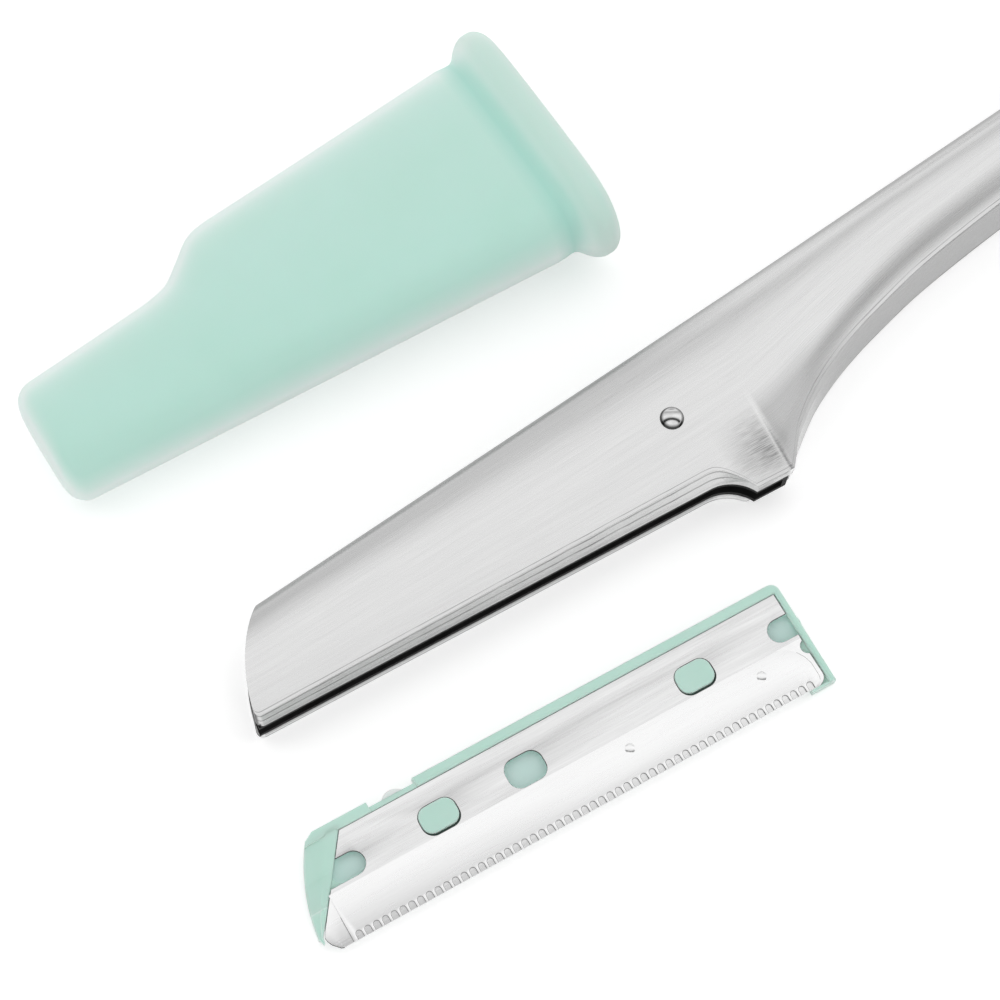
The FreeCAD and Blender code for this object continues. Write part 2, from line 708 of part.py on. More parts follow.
def make_cap():
    body = new_body("cap")
    length = cell("cap_length")
    wall = cell("cap_wall")
    nose, thick = cell("cap_nose_thickness"), cell("cap_body_thickness")
    step_start, step_length = cell("cap_step_start"), cell("cap_step_length")
    rim_start = length - cell("rim_length")
    rounding = cell("cap_nose_round")
    flare = cell("rim_flare")

    # Outside, as place, step share, thickness and how far it stands out all round
    outside = [(rounding * run, 0.0, nose, -rounding * inset) for run, inset in CAP_NOSE_CURVE]
    outside += [(step_start + step_length * run, rise, nose + (thick - nose) * rise, as_size(0))
                for run, rise in CAP_STEP_CURVE]
    outside += [(rim_start + cell("rim_length") * run, 1.0, thick, flare * swell)
                for run, swell in CAP_RIM_CURVE]
    sections = [cap_section(body, f"cap_outer_{index}", *section) for index, section in enumerate(outside)]
    loft(body, "PartDesign::AdditiveLoft", "cap_solid", sections)

    # Inside: the same sleeve, one wall in, running out through the rim
    inside = [(rounding, 0.0, nose, -wall)]
    inside += [(step_start + step_length * run, rise, nose + (thick - nose) * rise, -wall)
               for run, rise in CAP_STEP_CURVE]
    inside += [(rim_start, 1.0, thick, -wall), (length - cell("rim_roll"), 1.0, thick, flare / 2 - wall),
               (length, 1.0, thick, flare - wall)]
    hollows = [cap_section(body, f"cap_inner_{index}", *section) for index, section in enumerate(inside)]
    loft(body, "PartDesign::SubtractiveLoft", "cap_hollow", hollows)
    return body


ROLL = cell("roll_angle")
SEAT = (as_size(0), as_size(0), cell("slot_rest_height"))
DRAWN = (-cell("unit_draw_along"), -cell("unit_draw_out") * cosine(ROLL),
         cell("slot_rest_height") - cell("unit_draw_out") * sine(ROLL))

bodies = [make_handle_body(), make_slot_liner(), make_liner_pin(), make_blade_holder(), make_blade(),
          make_guard_strip(), make_cap()]
handle_body, slot_liner, liner_pin, blade_holder, blade, guard_strip, cap = bodies

for piece in (handle_body, slot_liner):
    place(piece, (1, 0, 0), ROLL, SEAT)
place(liner_pin, (1, 0, 0), ROLL, (PIN_PLACE[0], PIN_PLACE[1] * cosine(ROLL),
                                   cell("slot_rest_height") + PIN_PLACE[1] * sine(ROLL)))
for piece in (blade_holder, blade, guard_strip):
    place(piece, (1, 0, 0), ROLL, DRAWN)

# The cap lies on its rim and on its nose, so its far end is tipped down
CAP_SPAN = cell("cap_length") - cell("rim_roll") - cell("cap_nose_round")
CAP_FALL = (cell("cap_body_thickness") - cell("cap_nose_thickness")) / 2 + cell("rim_flare")
CAP_TILT = Size(math.degrees(math.atan(CAP_FALL.value / CAP_SPAN.value)),
                f"(atan({CAP_FALL.text} / {CAP_SPAN.text}) / 1 deg)")
place(cap, (0, -1, 0), CAP_TILT, (cell("cap_along"), cell("cap_aside"), cell("cap_nose_thickness") / 2
                                  - cell("cap_nose_round") * sine(CAP_TILT)))
doc.recompute()

faults = [item.Name for item in doc.Objects if {"Invalid", "Error"} & set(item.State)]
faults += [piece.Label for piece in bodies if piece.Shape.isNull() or not piece.Shape.isValid()]
if faults:
    raise RuntimeError("these objects failed: " + ", ".join(faults))

# The origin: the middle of the whole layout's footprint, at the table
box = FreeCAD.BoundBox()
for piece in bodies:
    box.add(piece.Shape.optimalBoundingBox())
for offset, (alias, amount) in enumerate(zip(SHIFTS, (box.Center.x, box.Center.y, box.ZMin))):
    set_cell(SHIFT_ROW + offset, alias, -amount)
doc.recompute()

os.makedirs("parts", exist_ok=True)
for piece in bodies:
    piece.Shape.exportStep(f"parts/{piece.Label}.step")
    solids = len(piece.Shape.Solids)
    print(f"{piece.Label}: {solids} solid, {piece.Shape.Volume:.3f} mm3")
print("shift", [round(float(sheet.get(alias)), 4) for alias in SHIFTS])
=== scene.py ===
"""The looks of an eyebrow razor: steel handle, mint blade unit and mint cap, laid out on a white table.

Shapes are worked out in millimetres. The head's frame has X along the slot from the tip to the heel,
Y from the slot's mouth up to the spine and Z out of the front cheek. The cap's frame starts at its nose.
"""
import math

import bmesh
import bpy
from mathutils import Matrix, Vector


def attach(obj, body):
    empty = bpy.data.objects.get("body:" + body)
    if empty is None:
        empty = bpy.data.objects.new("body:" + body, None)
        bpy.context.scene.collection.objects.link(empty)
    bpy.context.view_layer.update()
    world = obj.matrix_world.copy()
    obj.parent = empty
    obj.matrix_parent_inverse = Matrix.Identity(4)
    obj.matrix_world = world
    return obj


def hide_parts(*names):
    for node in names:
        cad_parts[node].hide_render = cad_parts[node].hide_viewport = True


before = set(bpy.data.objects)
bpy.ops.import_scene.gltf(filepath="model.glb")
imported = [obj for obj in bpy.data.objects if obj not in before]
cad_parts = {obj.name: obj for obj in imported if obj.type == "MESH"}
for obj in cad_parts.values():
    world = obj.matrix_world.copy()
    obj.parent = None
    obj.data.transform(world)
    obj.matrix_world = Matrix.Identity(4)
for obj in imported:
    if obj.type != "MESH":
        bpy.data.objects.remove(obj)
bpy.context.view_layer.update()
MM = 0.001

# Where the pieces lie in the layout
ROLL = math.radians(5.2)
MOUTH = Vector((-71.8604, -14.0504, 2.3775))
DRAWN_OUT = Vector((-3.9, -16.65, 0.0))
CAP_NOSE = Vector((-76.0604, 10.1496, 3.7399))
CAP_RISE = 1.75
CAP_RUN = 48.6
CAP_TILT = math.atan(CAP_RISE / CAP_RUN)
HEAD = Matrix.Scale(MM, 4) @ Matrix.Translation(MOUTH) @ Matrix.Rotation(ROLL, 4, "X")
UNIT = HEAD @ Matrix.Translation(DRAWN_OUT)
SLEEVE = Matrix.Scale(MM, 4) @ Matrix.Translation(CAP_NOSE) @ Matrix.Rotation(-CAP_TILT, 4, "Y")

# Places that both a shape and a finish need
SLOT_END = 48.3
CHIN_END = 48.65
RIM_SLANT = 0.05
EDGE_HALF = 2.35


# Curves that the shapes are read from

def smooth_step(share):
    """A share from 0 to 1 that eases at both ends."""
    share = min(max(share, 0.0), 1.0)
    return share * share * (3.0 - 2.0 * share)


def between(x, start, end):
    """How far x has gone from start to end, from 0 to 1, easing at both ends."""
    return smooth_step((x - start) / (end - start))


def line_at(x, line):
    """The height of a straight line that is given by its start and its slope."""
    start, slope = line
    return start + slope * x


def follow(x, knots):
    """A smooth curve through (place, value) knots, flat past its ends."""
    if x <= knots[0][0]:
        return knots[0][1]
    if x >= knots[-1][0]:
        return knots[-1][1]
    slopes = [(b[1] - a[1]) / (b[0] - a[0]) for a, b in zip(knots, knots[1:])]
    tangents = [slopes[0]]
    for before, after in zip(slopes, slopes[1:]):
        tangents.append(0.0 if before * after <= 0 else 2.0 * before * after / (before + after))
    tangents.append(slopes[-1])
    for index, (a, b) in enumerate(zip(knots, knots[1:])):
        if x <= b[0]:
            run = b[0] - a[0]
            t = (x - a[0]) / run
            return (a[1] * (1 + 2 * t) * (1 - t) ** 2 + b[1] * t * t * (3 - 2 * t)
                    + tangents[index] * run * t * (1 - t) ** 2 + tangents[index + 1] * run * t * t * (t - 1))


def spread(start, end, count):
    """Evenly spaced places from start to end, both included."""
    return [start + (end - start) * index / (count - 1) for index in range(count)]


def arc_points(centre, radius, start, end, count):
    """Points round an arc, from one angle in degrees to another."""
    turns = [math.radians(angle) for angle in spread(start, end, count)]
    return [(centre[0] + radius * math.cos(turn), centre[1] + radius * math.sin(turn)) for turn in turns]


CORNER_POINTS = 8


def rounded_box(centre, width, height, corner):
    """The outline of a rectangle with round corners."""
    points = []
    for side_x, side_y, start in ((1, 1, 0), (-1, 1, 90), (-1, -1, 180), (1, -1, 270)):
        middle = (centre[0] + side_x * (width / 2 - corner), centre[1] + side_y * (height / 2 - corner))
        points += arc_points(middle, corner, start, start + 90, CORNER_POINTS)
    return points


# Meshes

def link_mesh(name, mesh):
    piece = bpy.data.objects.new(name, mesh)
    bpy.context.scene.collection.objects.link(piece)
    return piece


def new_piece(name, points, faces, place, material, maps=None):
    """A mesh object from points in millimetres, with maps of its surface where they are given."""
    mesh = bpy.data.meshes.new(name)
    mesh.from_pydata([place @ Vector(point) for point in points], [], faces)
    for label, values in (maps or {}).items():
        layer = mesh.uv_layers.new(name=label)
        for loop in mesh.loops:
            layer.data[loop.index].uv = values[loop.vertex_index]
    mesh.validate()
    mesh.shade_smooth()
    mesh.materials.append(material)
    return link_mesh(name, mesh)


def face_outward(piece, split_ends=False):
    """Turn the faces of a mesh outward, and cut its many-sided ends into triangles where that is asked."""
    shape = bmesh.new()
    shape.from_mesh(piece.data)
    if split_ends:
        bmesh.ops.triangulate(shape, faces=[face for face in shape.faces if len(face.verts) > 4])
    bmesh.ops.recalc_face_normals(shape, faces=shape.faces)
    shape.to_mesh(piece.data)
    shape.free()


def round_edges(piece, width, angle):
    """Round every edge sharper than an angle, and keep the flats flat."""
    bevel = piece.modifiers.new("rounded edges", "BEVEL")
    bevel.width = width * MM
    bevel.segments = 2
    bevel.limit_method = "ANGLE"
    bevel.angle_limit = math.radians(angle)
    bevel.harden_normals = True


def stand_for(piece, node, body):
    """Let a piece take the place of a node of the part, moving with its body."""
    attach(piece, body)
    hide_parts(node)
    return piece


def ring_faces(ring_count, points_round):
    """The faces between closed rings whose points are numbered one ring after the other."""
    faces = []
    for low in range(0, (ring_count - 1) * points_round, points_round):
        high = low + points_round
        for index in range(points_round):
            after = (index + 1) % points_round
            faces.append((low + index, low + after, high + after, high + index))
    return faces


LEAST_LEAN = 0.5


def inward_normals(outline):
    """At each corner of a closed outline, the way and reach that move its sides one unit to their left."""
    normals = []
    for index, here in enumerate(outline):
        before, after = Vector(outline[index - 1]), Vector(outline[(index + 1) % len(outline)])
        first = (Vector(here) - before).normalized()
        second = (after - Vector(here)).normalized()
        middle = (Vector((-first.y, first.x)) + Vector((-second.y, second.x))).normalized()
        lean = max(middle.dot(Vector((-first.y, first.x))), LEAST_LEAN)
        normals.append(middle / lean)
    return normals


def signed_area(outline):
    return sum(a[0] * b[1] - b[0] * a[1] for a, b in zip(outline, outline[1:] + outline[:1])) / 2


def join_rings(shape, rings, material=0, closed=True):
    """Skin rings of points with smooth faces, from each ring to the next."""
    for ring, above in zip(rings, rings[1:]):
        for index in range(len(ring) if closed else len(ring) - 1):
            after = (index + 1) % len(ring)
            face = shape.faces.new((ring[index], ring[after], above[after], above[index]))
            face.smooth = True
            face.material_index = material


ROUNDING_ROWS = 4


def add_prism(shape, outlines, low, high, rounding, place, material=0, side=None):
    """Add a flat plate with rounded upper edges: the first outline is its rim, and the rest are holes."""
    lower_rim, upper_rim = [], []
    for number, outline in enumerate(outlines):
        if (signed_area(outline) > 0) != (number == 0):
            outline = outline[::-1]
        ways = inward_normals(outline)
        rows = [(0.0, low)]
        for turn in spread(0.0, math.pi / 2, ROUNDING_ROWS) if rounding else [math.pi / 2]:
            rows.append((rounding * (1.0 - math.cos(turn)), high - rounding * (1.0 - math.sin(turn))))
        rings = []
        for inset, height in rows:
            rings.append([shape.verts.new(place @ Vector((x + way.x * inset, y + way.y * inset, height)))
                          for (x, y), way in zip(outline, ways)])
        join_rings(shape, rings, material if side is None else side)
        for rim, ring in ((lower_rim, rings[0]), (upper_rim, rings[-1])):
            rim += [shape.edges.get(pair) for pair in zip(ring, ring[1:] + ring[:1])]
    for rim in (lower_rim, upper_rim):
        filled = bmesh.ops.triangle_fill(shape, edges=rim, use_beauty=True)
        for face in filled["geom"]:
            if isinstance(face, bmesh.types.BMFace):
                face.smooth = False
                face.material_index = material


TUBE_SIDES = 6


def add_tube(shape, points, radius, place, material):
    """Add a thin round edge that runs through points."""
    rings = []
    for index, point in enumerate(points):
        before, after = Vector(points[max(index - 1, 0)]), Vector(points[min(index + 1, len(points) - 1)])
        run = (after - before).normalized()
        across = Vector((-run.y, run.x, 0.0)).normalized()
        ring = []
        for side in range(TUBE_SIDES):
            angle = 2 * math.pi * side / TUBE_SIDES
            out = math.cos(angle) * across + math.sin(angle) * Vector((0.0, 0.0, 1.0))
            ring.append(shape.verts.new(place @ (Vector(point) + radius * out)))
        rings.append(ring)
    join_rings(shape, rings, material)


DOME_SHARES = (1.0, 0.85, 0.65, 0.4, 0.15)
DOME_SIDES = 24


def add_dome(shape, centre, radius, height, place):
    """Add a low round bump."""
    rings = []
    for share in DOME_SHARES:
        lift = height * math.sqrt(1.0 - share * share)
        ring = []
        for index in range(DOME_SIDES):
            angle = 2 * math.pi * index / DOME_SIDES
            out = Vector((radius * share * math.cos(angle), radius * share * math.sin(angle), lift))
            ring.append(shape.verts.new(place @ (Vector(centre) + out)))
        rings.append(ring)
    join_rings(shape, rings)
    shape.faces.new(rings[-1]).smooth = True


PLATE_SHARP = 40


def finish_shape(name, shape, materials):
    """The mesh object of a shape put together from plates and edges."""
    bmesh.ops.recalc_face_normals(shape, faces=shape.faces)
    mesh = bpy.data.meshes.new(name)
    shape.to_mesh(mesh)
    shape.free()
    for material in materials:
        mesh.materials.append(material)
    mesh.set_sharp_from_angle(angle=math.radians(PLATE_SHARP))
    return link_mesh(name, mesh)


# Nodes that the materials are put together from

def grey(level):
    return (level, level, level, 1.0)


def add_node(tree, kind, settings=None, inputs=None):
    """A node with its settings, and with its inputs linked to other nodes or set to plain values."""
    node = tree.nodes.new(kind)
    for key, value in (settings or {}).items():
        setattr(node, key, value)
    for key, item in (inputs or {}).items():
        if isinstance(item, bpy.types.NodeSocket):
            tree.links.new(item, node.inputs[key])
        else:
            node.inputs[key].default_value = item
    return node


def remap(tree, value, low, high, to_low=0.0, to_high=1.0):
    """A value taken from one range to another, and held at the ends."""
    ends = {0: value, 1: low, 2: high, 3: to_low, 4: to_high}
    return add_node(tree, "ShaderNodeMapRange", inputs=ends).outputs[0]


def work_out(tree, operation, *items):
    """One sum of numbers, such as MULTIPLY or ADD."""
    return add_node(tree, "ShaderNodeMath", {"operation": operation}, dict(enumerate(items))).outputs[0]


def multiply(tree, *masks):
    product = masks[0]
    for mask in masks[1:]:
        product = work_out(tree, "MULTIPLY", product, mask)
    return product


def band(tree, value, start, full, ebb, end):
    """A mask that rises from start to full and falls from ebb to end."""
    return multiply(tree, remap(tree, value, start, full), remap(tree, value, ebb, end, 1.0, 0.0))


def dot_product(tree, vector, way):
    node = add_node(tree, "ShaderNodeVectorMath", {"operation": "DOT_PRODUCT"}, {0: vector, 1: way})
    return node.outputs["Value"]


def split_xyz(tree, vector):
    node = add_node(tree, "ShaderNodeSeparateXYZ", inputs={0: vector})
    return node.outputs["X"], node.outputs["Y"], node.outputs["Z"]


def noise(tree, inputs, settings=None):
    return add_node(tree, "ShaderNodeTexNoise", settings, inputs).outputs["Fac"]


def blend_colour(tree, low, high, mask):
    """A colour that goes from low to high with a mask."""
    return add_node(tree, "ShaderNodeMix", {"data_type": "RGBA"}, {0: mask, 6: low, 7: high}).outputs[2]


def tone_ramp(tree, value, stops):
    """Grey tones along a value from 0 to 1, through (place, level) stops."""
    ramp = add_node(tree, "ShaderNodeValToRGB", inputs={0: value})
    elements = ramp.color_ramp.elements
    while len(elements) < len(stops):
        elements.new(0.5)
    for element, (place, level) in zip(elements, stops):
        element.position = place
        element.color = grey(level)
    return ramp.outputs[0]


def surface_map(tree, label):
    return add_node(tree, "ShaderNodeUVMap", {"uv_map": label}).outputs[0]


def millimetres(tree, place=Matrix.Scale(MM, 4)):
    """The place of a point on the surface in millimetres, in a piece's own frame where one is given."""
    turn = place.inverted()
    coordinates = add_node(tree, "ShaderNodeTexCoord")
    mapping = add_node(tree, "ShaderNodeMapping", {"vector_type": "POINT"}, {
        "Vector": coordinates.outputs["Object"], "Location": turn.to_translation(),
        "Rotation": turn.to_euler(), "Scale": turn.to_scale()})
    return mapping.outputs[0]


def grain_vector(tree):
    return surface_map(tree, "grain")


def unit_vector(tree):
    return millimetres(tree, UNIT)


# Effects that several materials use

def new_group(name, inputs, outputs):
    """A node group with a vector, named numbers that go in and named values that come out."""
    group = bpy.data.node_groups.new(name, "ShaderNodeTree")
    group.interface.new_socket("Vector", in_out="INPUT", socket_type="NodeSocketVector")
    for label, value in inputs:
        socket = group.interface.new_socket(label, in_out="INPUT", socket_type="NodeSocketFloat")
        socket.default_value = value
    for label in outputs:
        group.interface.new_socket(label, in_out="OUTPUT", socket_type="NodeSocketFloat")
    return group, group.nodes.new("NodeGroupInput").outputs, group.nodes.new("NodeGroupOutput").inputs


STREAK_KINDS = (("Lines", 1.0, 4.0), ("Bands", 0.2, 2.0))
STREAK_ROUGHNESS = 0.65


def make_streak_group():
    """Fine lines left by a brush that ran along the grain, and broader bands that they gather in."""
    group, given, result = new_group("brush streaks", [("Along", 0.1), ("Across", 8.0)], ["Lines", "Bands"])
    scale = add_node(group, "ShaderNodeCombineXYZ", inputs={0: given["Along"], 1: given["Across"], 2: 1.0})
    stretch = add_node(group, "ShaderNodeVectorMath", {"operation": "MULTIPLY"},
                       {0: given["Vector"], 1: scale.outputs[0]})
    for label, size, detail in STREAK_KINDS:
        streak = noise(group, {"Vector": stretch.outputs[0], "Scale": size, "Detail": detail,
                               "Roughness": STREAK_ROUGHNESS})
        group.links.new(streak, result[label])
    return group


MOULDING_DETAIL = (("Mottle", 2.0), ("Grain", 4.0))
MOULDING_ROUGHNESS = 0.6


def make_moulding_group():
    """The faint mottle and fine grain of moulded plastic."""
    group, given, result = new_group("moulded surface", [("Mottle", 0.1), ("Grain", 4.0)],
                                     ["Mottle", "Grain"])
    for label, detail in MOULDING_DETAIL:
        texture = noise(group, {"Vector": given["Vector"], "Scale": given[label], "Detail": detail,
                                "Roughness": MOULDING_ROUGHNESS})
        group.links.new(texture, result[label])
    return group


STREAKS = make_streak_group()
MOULDING = make_moulding_group()


# Steel

def new_material(name, values):
    """A material with a principled shader and its plain values."""
    material = bpy.data.materials.new(name)
    material.use_nodes = True
    tree = material.node_tree
    tree.nodes.clear()
    shader = add_node(tree, "ShaderNodeBsdfPrincipled", inputs=values)
    add_node(tree, "ShaderNodeOutputMaterial", inputs={"Surface": shader.outputs[0]})
    return material, tree, shader


def finish_surface(tree, shader, colour, roughness, height, strength, depth):
    """Link a shader to its colour, its roughness and a bump of a depth in millimetres."""
    bump = add_node(tree, "ShaderNodeBump", inputs={
        "Height": height, "Strength": strength, "Distance": depth * MM})
    for label, item in (("Base Color", colour), ("Roughness", roughness), ("Normal", bump.outputs[0])):
        tree.links.new(item, shader.inputs[label])


LINE_SHARE = 0.7
BAND_SHARE = 0.3
TONE_RANGE = (0.3, 0.7)
LINE_RANGE = (0.25, 0.75)
BRUSH_DEPTH = 0.02


def brushed_steel(name, vector_of, dark, light, rough, along, across, bump=0.25):
    """Steel brushed along its grain."""
    material, tree, shader = new_material(name, {"Metallic": 1.0})
    streaks = add_node(tree, "ShaderNodeGroup", {"node_tree": STREAKS},
                       {"Vector": vector_of(tree), "Along": along, "Across": across})
    lines = streaks.outputs["Lines"]
    bands = remap(tree, streaks.outputs["Bands"], 0.0, 1.0, 0.0, BAND_SHARE)
    mask = remap(tree, work_out(tree, "MULTIPLY_ADD", lines, LINE_SHARE, bands), *TONE_RANGE)
    finish_surface(tree, shader, blend_colour(tree, dark, light, mask),
                   remap(tree, lines, *LINE_RANGE, *rough), lines, bump, BRUSH_DEPTH)
    return material


def tint(material, mask, colour):
    """Take a material's own colour towards another one where a mask says."""
    tree = material.node_tree
    shader = next(node for node in tree.nodes if node.bl_idname == "ShaderNodeBsdfPrincipled")
    own = shader.inputs["Base Color"].links[0].from_socket
    tree.links.new(blend_colour(tree, own, colour, mask), shader.inputs["Base Color"])


LIP_STOPS = [(0.0, 0.0), (0.06, 0.3), (0.2, 0.05), (0.27, 0.1), (0.305, 1.0), (0.34, 0.1), (0.53, 0.05),
             (0.57, 0.95), (0.6, 0.05), (0.82, 0.0), (0.86, 0.9), (0.89, 0.0), (1.0, 0.0)]
LIP_REACH = 1.6
LIP_SWAY = 0.035
SWAY_RANGE = (0.2, 0.8)
SWAY_NOISE = {"Scale": 0.25, "Detail": 2.0}
LIP_FAINTEST = 0.5
LIP_TONE = grey(0.1)


def add_lip_lines(material):
    """Fine dark lines that the grinder left along the lip."""
    tree = material.node_tree
    along, across, _ = split_xyz(tree, surface_map(tree, "lip"))
    sway = noise(tree, {"W": along, **SWAY_NOISE}, {"noise_dimensions": "1D"})
    shift = remap(tree, sway, *SWAY_RANGE, -LIP_SWAY, LIP_SWAY)
    swayed = work_out(tree, "ADD", across, shift)
    lines = tone_ramp(tree, remap(tree, swayed, 0.0, LIP_REACH), LIP_STOPS)
    tint(material, multiply(tree, lines, remap(tree, sway, *TONE_RANGE, LIP_FAINTEST, 1.0)), LIP_TONE)


FRONT_RANGE = (0.0, 1.5)
HATCH_ALONG = (43.8, 47.2, 48.0, 48.4)
HATCH_TOP = (0.8, 4.6)
HATCH_FOOT = (-1.7, -0.3)
HATCH_FOOT_SHARE = 0.2
HATCH_STRETCH = (0.7, 13.0, 0.0)
HATCH_NOISE = {"Scale": 1.0, "Detail": 2.0, "Roughness": 0.5}
HATCH_RANGE = (0.38, 0.62)
HATCH_FAINTEST = 0.35
HATCH_TONE = grey(0.24)
CREASE_ALONG = (48.2, 48.4, 48.6, 48.8)
CREASE_TOP = (1.0, 6.0)
CREASE_SHARE = 0.5
CREASE_HIGHLIGHT_TONE = grey(0.95)


def add_hatch_marks_and_crease_highlight(material):
    """Short dark cross marks over a darkened patch in the hollow at the end of the ground face, and a
    painted highlight along its crease.
    """
    tree = material.node_tree
    spot = millimetres(tree, HEAD)
    x, y, z = split_xyz(tree, spot)
    front = remap(tree, z, *FRONT_RANGE)
    near = multiply(tree, band(tree, x, *HATCH_ALONG), remap(tree, y, *HATCH_TOP, 1.0, 0.0),
                    remap(tree, y, *HATCH_FOOT, HATCH_FOOT_SHARE, 1.0))
    stretch = add_node(tree, "ShaderNodeVectorMath", {"operation": "MULTIPLY"}, {0: spot, 1: HATCH_STRETCH})
    marks = noise(tree, {"Vector": stretch.outputs[0], **HATCH_NOISE})
    depth = remap(tree, marks, *HATCH_RANGE, HATCH_FAINTEST, 1.0)
    tint(material, multiply(tree, near, front, depth), HATCH_TONE)
    # Painted highlight: a pale line along the crease's ridge.
    crease_highlight = multiply(tree, band(tree, x, *CREASE_ALONG), remap(tree, y, *CREASE_TOP, CREASE_SHARE, 0.0))
    tint(material, multiply(tree, crease_highlight, front), CREASE_HIGHLIGHT_TONE)


NECK_SHADE_TONE = grey(0.3)
STREAK_ROOT = (48.5, 48.9)
STREAK_CHANGE = (54.0, 62.0)
ROOT_ACROSS = (2.0, 3.8)
ROOT_SHARE = 0.55
REST_ACROSS = (0.9, 1.9, 2.2, 3.4)
REST_SHARE = 0.28


def paint_neck_shade_streak(material):
    """Painted shade along the hollow of the neck: a dark streak that stands in for a dark reflection, broad
    at the crease and narrow further on.
    """
    tree = material.node_tree
    along, across, _ = split_xyz(tree, grain_vector(tree))
    root = multiply(tree, remap(tree, along, *STREAK_ROOT, 0.0, ROOT_SHARE),
                    remap(tree, along, *STREAK_CHANGE, 1.0, 0.0),
                    remap(tree, across, *ROOT_ACROSS, 1.0, 0.0))
    tint(material, root, NECK_SHADE_TONE)
    rest = multiply(tree, remap(tree, along, *STREAK_CHANGE, 0.0, REST_SHARE),
                    band(tree, across, *REST_ACROSS))
    tint(material, rest, NECK_SHADE_TONE)


def paint_faced_shade(material, way, facing, along, level):
    """Paint shade on steel where it faces a way in the head's frame: take it towards a grey, more and more
    along a stretch.
    """
    tree = material.node_tree
    surface = add_node(tree, "ShaderNodeNewGeometry")
    turned = dot_product(tree, surface.outputs["Normal"], Matrix.Rotation(ROLL, 3, "X") @ Vector(way))
    mask = remap(tree, turned, *facing)
    if along:
        mask = multiply(tree, mask, remap(tree, split_xyz(tree, millimetres(tree, HEAD))[0], *along))
    tint(material, mask, grey(level))


POLISH_FADE = 0.05
PIN_RIM = (0.72, 0.92)
PIN_RIM_SHARE = 0.95
PIN_FOOT_SHADE_TONE = grey(0.04)


def paint_pin_foot_shade(material):
    """Painted shade: the dark line round the foot of the pin's dome."""
    tree = material.node_tree
    reach = add_node(tree, "ShaderNodeVectorMath", {"operation": "LENGTH"}, {0: grain_vector(tree)})
    tint(material, remap(tree, reach.outputs["Value"], *PIN_RIM, 0.0, PIN_RIM_SHARE), PIN_FOOT_SHADE_TONE)


def brighten_edge(material, level):
    """The half of the blade next to its edge is polished paler than the rest."""
    tree = material.node_tree
    height = split_xyz(tree, unit_vector(tree))[1]
    mask = remap(tree, height, EDGE_HALF - POLISH_FADE, EDGE_HALF + POLISH_FADE, 1.0, 0.0)
    tint(material, mask, grey(level))


UP_SPINE = (0.0, 1.0, 0.0)
DOWN_MOUTH = (0.0, -1.0, 0.0)
OUT_TIP = (-1.0, 0.0, 0.0)

HANDLE_STEEL = brushed_steel("handle steel", grain_vector, dark=grey(0.59), light=(0.71, 0.71, 0.708, 1.0),
                             rough=(0.24, 0.32), along=0.2, across=9.0)
add_lip_lines(HANDLE_STEEL)
add_hatch_marks_and_crease_highlight(HANDLE_STEEL)
paint_neck_shade_streak(HANDLE_STEEL)
# Painted shade where the steel faces a way: the head's upper slope, the tip's end, the lip's underside, the
# neck's underside and the top of the spine
paint_faced_shade(HANDLE_STEEL, UP_SPINE, facing=(0.32, 0.5), along=(54.0, 42.0), level=0.5)
paint_faced_shade(HANDLE_STEEL, OUT_TIP, facing=(0.6, 0.9), along=(20.0, 15.0), level=0.12)
paint_faced_shade(HANDLE_STEEL, DOWN_MOUTH, facing=(0.95, 0.99), along=(47.0, 46.0), level=0.42)
paint_faced_shade(HANDLE_STEEL, DOWN_MOUTH, facing=(0.75, 0.9), along=(SLOT_END, 49.5), level=0.43)
paint_faced_shade(HANDLE_STEEL, UP_SPINE, facing=(0.62, 0.9), along=None, level=0.22)
PIN_STEEL = brushed_steel("pin steel", grain_vector, dark=grey(0.45), light=grey(0.75),
                          rough=(0.08, 0.14), along=1.0, across=2.0, bump=0.05)
paint_pin_foot_shade(PIN_STEEL)
BLADE_STEEL = brushed_steel("blade steel", unit_vector, dark=grey(0.6), light=grey(0.8),
                            rough=(0.24, 0.34), along=0.2, across=6.0)
brighten_edge(BLADE_STEEL, 0.82)
GUARD_STEEL = brushed_steel("guard steel", unit_vector, dark=grey(0.78), light=grey(0.86),
                            rough=(0.24, 0.32), along=0.3, across=3.0)
# Near-black steel for the thin beads round the guard's arches: painted shade at their edges.
ARCH_EDGE_SHADE_STEEL = brushed_steel("arch edge painted shade", unit_vector, dark=grey(0.2), light=grey(0.36),
                           rough=(0.3, 0.4), along=0.8, across=2.0)
# Near-black steel for the blade's cut sides: painted shade.
CUT_SIDE_SHADE_STEEL = brushed_steel("cut side painted shade", unit_vector, dark=(0.05, 0.06, 0.055, 1.0),
                          light=(0.09, 0.1, 0.095, 1.0), rough=(0.4, 0.5), along=0.8, across=2.0)


# Plastic

MOULD_RANGE = (0.3, 0.7)
MOULD_DEPTH = 0.01
MINT_SHEEN_FACING = (0.1, 0.55)
MINT_SCATTER = (0.6, 1.0, 0.85)
MINT_SCATTER_REACH = 0.8
MINT_GLOSS = 0.35
MINT_BUMP = 0.15
MINT_MOTTLE = 0.12
MINT_GRAIN = 5.0
BLACK_GLOSS = 0.08
BLACK_BUMP = 0.2
BLACK_MOTTLE = 0.5
BLACK_GRAIN = 6.0


def moulded(tree, mottle, grain):
    """The mottle of a moulded surface as a mask, and its fine grain."""
    surface = add_node(tree, "ShaderNodeGroup", {"node_tree": MOULDING},
                       {"Vector": millimetres(tree), "Mottle": mottle, "Grain": grain})
    return remap(tree, surface.outputs["Mottle"], *MOULD_RANGE), surface.outputs["Grain"]


